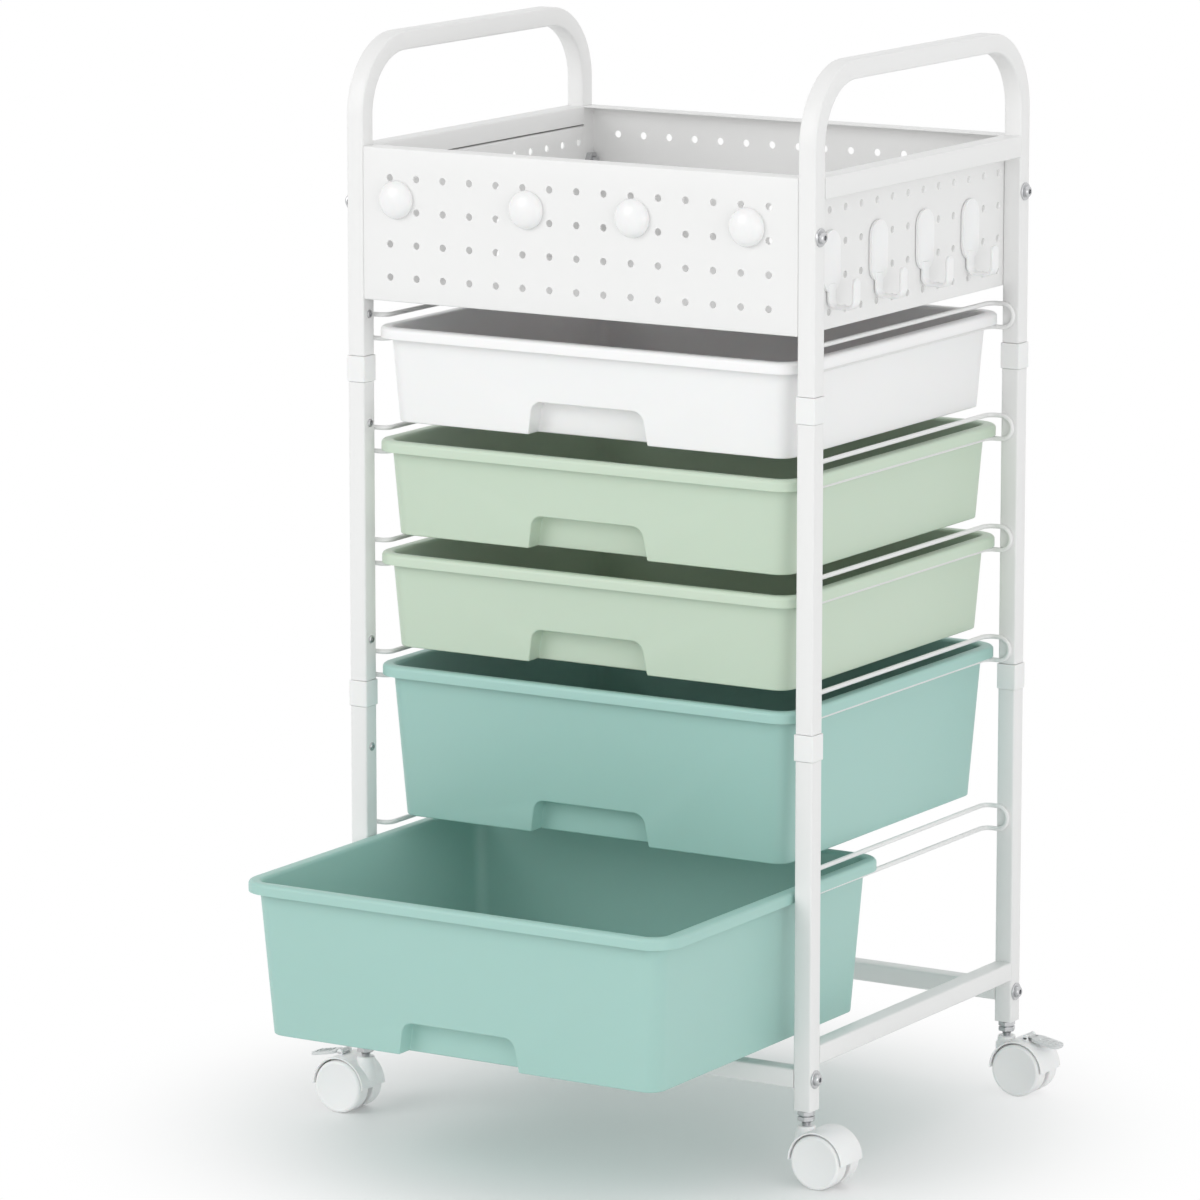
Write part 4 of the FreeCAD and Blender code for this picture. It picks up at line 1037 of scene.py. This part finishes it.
class CART_OT_fasteners(bpy.types.Operator):
    """Frame bolts with washers, lock screws, caster stems and jam nuts."""

    bl_idname = "cart.fasteners"
    bl_label = "Fasteners"

    def execute(self, context):
        self.bolts()
        self.lock_screws()
        self.stems(context.scene.cart_sizes)
        self.nuts()
        return {"FINISHED"}

    def bolts(self):
        low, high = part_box("frame_bolts")
        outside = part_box("handle_loop_right")[1].x
        washer = 7.5 * MM
        thick = 1.4 * MM
        mesh = bmesh.new()
        for corner in CORNERS:
            side = -1 if "left" in corner else 1
            y = middle("lower_post_" + corner).y
            for z in (low.z + washer, high.z - washer):
                place = facing(side * outside, y, z, (side, 0, 0))
                turned(mesh, [
                    (0, 0), (washer, 0), (washer, 1.0 * MM), (7.1 * MM, thick), (0, thick),
                ], place, 32)
                seat = facing(side * (outside + thick), y, z, (side, 0, 0))
                button_head(mesh, seat, 5 * MM, high.x - outside - thick, 2.1 * MM)
                rod(mesh, 3 * MM, -26 * MM, 0, place, 16, capped=False)
        add_piece(mesh, "frame_bolt_set", "frame", "zinc_plated", ["frame_bolts"], crease=28)

    def lock_screws(self):
        mesh = bmesh.new()
        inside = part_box("base_beam_front")[1].x
        for corner in CORNERS:
            side = -1 if "left" in corner else 1
            centre = middle("middle_post_" + corner)
            for section in ("lower_post_", "middle_post_"):
                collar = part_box(section + corner)[1].z + HALF_COLLAR
                for z in (collar - SCREW_OFFSET, collar + SCREW_OFFSET):
                    place = facing(side * inside, centre.y, z, (-side, 0, 0))
                    button_head(mesh, place, 3.5 * MM, 1.6 * MM, 1.3 * MM)
                    rod(mesh, 2 * MM, -7 * MM, 0, place, 12, capped=False)
        add_piece(mesh, "lock_screw_set", "frame", "zinc_plated", ["connector_screws"], crease=28)

    def stems(self, sizes):
        """Stems with the crests and roots of their thread, on a plain pintle."""
        low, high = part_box("caster_stems")
        shoulder = low.z + 9.4 * MM
        crest = 4 * MM
        root = 3.35 * MM
        mesh = bmesh.new()
        profile = [(0, low.z), (2.15 * MM, low.z), (2.15 * MM, shoulder), (root, shoulder)]
        turns = int((high.z - shoulder) / sizes.thread)
        for number in range(turns):
            rise = shoulder + number * sizes.thread
            profile += [(root, rise + 0.1 * sizes.thread), (crest, rise + 0.6 * sizes.thread)]
        profile += [(root, high.z), (0, high.z)]
        for corner in CORNERS:
            centre = middle("lower_post_" + corner)
            turned(mesh, profile, at(centre.x, centre.y, 0), 20)
        add_piece(mesh, "threaded_stems", "frame", "zinc_plated", ["caster_stems"], crease=50)

    def nuts(self):
        """Two nuts under each post, six-sided with chamfered corners and a gap between them."""
        low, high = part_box("caster_jam_nuts")
        height = (high.z - low.z) / 2
        flats = 6.5 * MM
        gap = 0.9 * MM
        mesh = bmesh.new()
        for corner in CORNERS:
            centre = middle("lower_post_" + corner)
            for step in (0, 1):
                verts = bmesh.ops.create_circle(
                    mesh, cap_ends=True, radius=flats / math.cos(math.radians(30)), segments=6
                )["verts"]
                foot = low.z + step * height + gap / 2
                bmesh.ops.transform(
                    mesh, matrix=at(centre.x, centre.y, foot) @ Matrix.Rotation(0.3 + step, 4, "Z"),
                    verts=verts,
                )
                draw_out(mesh, verts[0].link_faces[0], Vector((0, 0, height - gap)))
                turned(mesh, [(4.6 * MM, -gap / 2), (5.1 * MM, -gap / 2),
                              (5.1 * MM, height - gap / 2), (4.6 * MM, height - gap / 2)],
                       at(centre.x, centre.y, foot), 24)
        add_piece(
            mesh, "jam_nut_set", "frame", "zinc_plated", ["caster_jam_nuts"],
            edge=0.5 * MM, crease=50,
        )


# Casters
def hub_of(corner):
    return Vector(JOINTS[f"roll_{corner}_front"]["pos_m"])


class CART_OT_casters(bpy.types.Operator):
    """Caster hoods: fender, web with hub boss, and swivel neck."""

    bl_idname = "cart.casters"
    bl_label = "Caster hoods"

    def execute(self, context):
        for corner in CORNERS:
            self.hood(context.scene.cart_sizes, corner)
        return {"FINISHED"}

    def hood(self, sizes, corner):
        node = "caster_hood_" + corner
        low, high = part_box(node)
        hub = hub_of(corner)
        swivel = Vector(JOINTS["swivel_" + corner]["pos_m"])
        outer = hub.z + 2.8 * MM
        inner = outer - sizes.fender
        width = high.y - low.y
        mesh = bmesh.new()
        self.arch(mesh, hub, inner, outer, width)
        self.arch(mesh, hub, 5 * MM, inner + 0.2 * MM, sizes.web)
        boss = facing(hub.x, hub.y - sizes.web / 2, hub.z, Y_AXIS)
        rod(mesh, 7.5 * MM, 0, sizes.web, boss, 32)
        neck = 7.75 * MM
        shoulder = neck + 1.6 * MM
        turned(mesh, [
            (0, hub.z + 6 * MM), (shoulder, hub.z + 6 * MM), (shoulder, hub.z + 19 * MM),
            (neck, hub.z + 21.5 * MM), (neck, swivel.z - 1.2 * MM),
            (neck - 0.8 * MM, swivel.z), (0, swivel.z),
        ], at(swivel.x, swivel.y, 0), 32)
        if corner in BRAKED:
            self.ears(mesh, corner)
        add_piece(
            mesh, node + "_shell", "caster_" + corner, "caster_white", [node],
            edge=0.5 * MM, crease=40,
        )

    def arch(self, mesh, hub, inner, outer, width):
        """Half a ring over the wheels, from one side of the hub to the other."""
        place = facing(hub.x + (inner + outer) / 2, hub.y, hub.z, Z_AXIS)
        face = rounded_face(mesh, outer - inner, width, 0.5 * MM, 2, place)
        turn_out(mesh, face, hub, -Y_AXIS, 2 * QUARTER, 32)

    def ears(self, mesh, corner):
        """Two rounded ears that hold the pedal's pin."""
        pivot = Vector(JOINTS["brake_" + corner]["pos_m"])
        for end in (-1, 1):
            y = pivot.y + end * 6.4 * MM
            slab(mesh, 4.6 * MM, 2.6 * MM, pivot.z - 12 * MM - hub_of(corner).z, 0.4 * MM,
                 at(pivot.x, y, hub_of(corner).z + 12 * MM))
            rod(mesh, 2.3 * MM, 0, 2.6 * MM, facing(pivot.x, y - 1.3 * MM, pivot.z, Y_AXIS), 24)


class CART_OT_wheels(bpy.types.Operator):
    """Plain white wheels with soft rims."""

    bl_idname = "cart.wheels"
    bl_label = "Wheels"

    def execute(self, context):
        sizes = context.scene.cart_sizes
        for corner in CORNERS:
            hub = hub_of(corner)
            for end, sign in (("front", -1), ("rear", 1)):
                node = f"caster_wheel_{corner}_{end}"
                low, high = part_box(node)
                radius = (high.z - low.z) / 2
                width = high.y - low.y
                inside = high.y if sign < 0 else low.y
                mesh = bmesh.new()
                place = facing(hub.x, inside, hub.z, (0, sign, 0))
                turned(mesh, self.profile(sizes, radius, width), place, 64)
                add_piece(
                    mesh, node + "_disc", f"wheel_{corner}_{end}", "wheel_white", [node], crease=28
                )
        return {"FINISHED"}

    def profile(self, sizes, radius, width):
        """From the bore over the tread, round the rim and across the slightly dished face."""
        edge = sizes.wheel_edge
        bore = 3.05 * MM
        deep = width - 2.6 * MM
        points = [(0, deep), (bore, deep), (bore, 0), (radius - 0.8 * MM, 0), (radius, 0.8 * MM)]
        for turn in (0, 18, 36, 54, 72, 90):
            angle = math.radians(turn)
            points.append((
                radius - edge + edge * math.cos(angle), width - edge + edge * math.sin(angle)
            ))
        points += [(radius - edge - 0.9 * MM, width - 0.35 * MM), (0, width - 0.35 * MM)]
        return points


class CART_OT_pedals(bpy.types.Operator):
    """Brake pedals of clear plastic, ribbed underfoot."""

    bl_idname = "cart.pedals"
    bl_label = "Brake pedals"

    def execute(self, context):
        for corner, side in BRAKED.items():
            node = "brake_pedal_" + corner
            pivot = Vector(JOINTS["brake_" + corner]["pos_m"])
            place = at(*pivot) @ Matrix.Rotation(side * math.radians(11), 4, "Y")
            mesh = bmesh.new()
            half = 1.2 * MM
            tongue = place @ at(side * 17.9 * MM, 0, -half)
            slab(mesh, 26.5 * MM, 17.6 * MM, 2 * half, 5.8 * MM, tongue, 6)
            root = place @ at(side * 3.4 * MM, 0, -half)
            slab(mesh, 7 * MM, 9.4 * MM, 2 * half, 0.3 * MM, root, 2)
            for step in range(4):
                rib = place @ at(side * (13 + 4.4 * step) * MM, 0, half)
                slab(mesh, 1.3 * MM, 12 * MM, 0.7 * MM, 0.6 * MM, rib, 3)
            barrel = place @ Matrix.Rotation(-QUARTER, 4, "X")
            rod(mesh, 2.25 * MM, -4.8 * MM, 4.8 * MM, barrel, 24)
            rod(mesh, 1.15 * MM, -7.6 * MM, 7.6 * MM, barrel, 16)
            add_piece(
                mesh, node + "_tongue", "pedal_" + corner, "pedal_clear", [node],
                edge=0.35 * MM, crease=40,
            )
        return {"FINISHED"}


# Floor, light and camera
class CART_OT_stage(bpy.types.Operator):
    """Pale floor, soft studio light and the camera."""

    bl_idname = "cart.stage"
    bl_label = "Stage"

    def execute(self, context):
        context.scene.view_settings.view_transform = "Standard"
        self.floor(context)
        self.world(context)
        self.lamps(context)
        self.camera(context)
        return {"FINISHED"}

    def seen(self, tree):
        """One for camera, glossy and transmitted rays."""
        path = tree.nodes.new("ShaderNodeLightPath")
        first = operation_node(tree, "MAXIMUM")
        second = operation_node(tree, "MAXIMUM")
        feed(
            tree, (path.outputs["Is Camera Ray"], first.inputs[0]),
            (path.outputs["Is Glossy Ray"], first.inputs[1]),
            (first.outputs[0], second.inputs[0]),
            (path.outputs["Is Transmission Ray"], second.inputs[1]),
        )
        return second.outputs[0]

    def floor(self, context):
        """A wide floor that keeps the cart's shadow and fades to white away from it."""
        mesh = bmesh.new()
        bmesh.ops.create_grid(mesh, x_segments=1, y_segments=1, size=40)
        data = bpy.data.meshes.new("floor")
        mesh.to_mesh(data)
        mesh.free()
        ground = bpy.data.objects.new("floor", data)
        context.scene.collection.objects.link(ground)
        material = bpy.data.materials.new("Pale floor")
        material.use_nodes = True
        data.materials.append(material)
        tree = material.node_tree
        shader = tree.nodes["Principled BSDF"]
        preset(shader, Base_Color=(*context.scene.cart_colours.floor, 1.0), Roughness=0.55)
        white = tree.nodes.new("ShaderNodeEmission")
        blend = tree.nodes.new("ShaderNodeMixShader")
        coordinates = tree.nodes.new("ShaderNodeTexCoord")
        distance = operation_node(tree, "LENGTH", "ShaderNodeVectorMath")
        fade = tree.nodes.new("ShaderNodeMapRange")
        fade.interpolation_type = "SMOOTHERSTEP"
        preset(fade, From_Min=0.12, From_Max=0.52)
        both = operation_node(tree, "MULTIPLY")
        feed(
            tree, (coordinates.outputs["Object"], distance.inputs[0]),
            (distance.outputs["Value"], fade.inputs["Value"]),
            (fade.outputs["Result"], both.inputs[0]), (self.seen(tree), both.inputs[1]),
            (both.outputs[0], blend.inputs["Fac"]), (shader.outputs["BSDF"], blend.inputs[1]),
            (white.outputs["Emission"], blend.inputs[2]),
            (blend.outputs["Shader"], tree.nodes["Material Output"].inputs["Surface"]),
        )

    def world(self, context):
        """White where it is seen; elsewhere soft light, stronger from the sides than from above."""
        world = bpy.data.worlds.new("Studio")
        context.scene.world = world
        world.use_nodes = True
        tree = world.node_tree
        soft = tree.nodes["Background"]
        preset(soft, Color=(1.0, 1.0, 1.0, 1.0))
        coordinates = tree.nodes.new("ShaderNodeTexCoord")
        parts = tree.nodes.new("ShaderNodeSeparateXYZ")
        dome = tree.nodes.new("ShaderNodeMapRange")
        preset(dome, To_Min=1.25, To_Max=0.35)
        feed(
            tree, (coordinates.outputs["Generated"], parts.inputs[0]),
            (parts.outputs["Z"], dome.inputs["Value"]),
            (dome.outputs["Result"], soft.inputs["Strength"]),
        )
        white = tree.nodes.new("ShaderNodeBackground")
        preset(white, Color=(1.0, 1.0, 1.0, 1.0))
        blend = tree.nodes.new("ShaderNodeMixShader")
        feed(
            tree, (self.seen(tree), blend.inputs["Fac"]),
            (soft.outputs["Background"], blend.inputs[1]),
            (white.outputs["Background"], blend.inputs[2]),
            (blend.outputs["Shader"], tree.nodes["World Output"].inputs["Surface"]),
        )

    def lamps(self, context):
        """A large soft key from the front left, a fill from the right, and a weak lamp above."""
        for name, place, size, power in (
            ("key", (-1.9, -3.2, 2.3), 2.2, 38.0),
            ("fill", (2.8, -1.6, 0.7), 2.0, 19.0),
            ("top", (0.6, 0.4, 3.2), 2.6, 12.0),
        ):
            light = bpy.data.lights.new(name, "AREA")
            light.shape = "SQUARE"
            light.size = size
            light.energy = power
            lamp = bpy.data.objects.new(name, light)
            context.scene.collection.objects.link(lamp)
            lamp.location = place
            aim = Vector((0, 0, 0.4)) - Vector(place)
            lamp.rotation_euler = aim.to_track_quat("-Z", "Y").to_euler()

    def camera(self, context):
        """Long lens at the photograph's angle, aimed a little left of the cart's middle."""
        centre = middle("base_beam_front").y / 2 + middle("base_beam_rear").y / 2
        across, along, up = CAMERA_TARGET
        target = Vector((across, centre + along, up))
        back = Vector((
            math.sin(CAMERA_AZIMUTH) * math.cos(CAMERA_ELEVATION),
            -math.cos(CAMERA_AZIMUTH) * math.cos(CAMERA_ELEVATION),
            math.sin(CAMERA_ELEVATION),
        ))
        data = bpy.data.cameras.new("camera")
        data.sensor_width = 36.0
        data.lens = CAMERA_LENS
        data.clip_end = 100.0
        camera = bpy.data.objects.new("camera", data)
        context.scene.collection.objects.link(camera)
        camera.location = target + back * CAMERA_DISTANCE
        camera.rotation_euler = (-back).to_track_quat("-Z", "Y").to_euler()
        context.scene.camera = camera


OPERATORS = (
    CART_OT_node_finishes,
    CART_OT_posts,
    CART_OT_beams,
    CART_OT_handles,
    CART_OT_connectors,
    CART_OT_tray,
    CART_OT_rails,
    CART_OT_drawers,
    CART_OT_magnets,
    CART_OT_hooks,
    CART_OT_fasteners,
    CART_OT_casters,
    CART_OT_wheels,
    CART_OT_pedals,
    CART_OT_stage,
)


class CART_PT_panel(bpy.types.Panel):
    """Lists the cart's sizes, colours and pieces."""

    bl_label = "Rolling cart"
    bl_idname = "CART_PT_panel"
    bl_space_type = "VIEW_3D"
    bl_region_type = "UI"
    bl_category = "Cart"

    def draw(self, context):
        for group in (context.scene.cart_sizes, context.scene.cart_colours):
            for name in group.bl_rna.properties.keys():
                if name not in ("rna_type", "name"):
                    self.layout.prop(group, name)
        for operator in OPERATORS:
            self.layout.operator(operator.bl_idname)


CLASSES = (CartSizes, CartColours, *OPERATORS, CART_PT_panel)


def register():
    for item in CLASSES:
        bpy.utils.register_class(item)
    bpy.types.Scene.cart_sizes = PointerProperty(type=CartSizes)
    bpy.types.Scene.cart_colours = PointerProperty(type=CartColours)


def unregister():
    del bpy.types.Scene.cart_colours
    del bpy.types.Scene.cart_sizes
    for item in reversed(CLASSES):
        bpy.utils.unregister_class(item)


def main():
    register()
    for operator in OPERATORS:
        group, name = operator.bl_idname.split(".")
        getattr(getattr(bpy.ops, group), name)()


if __name__ == "__main__":
    main()
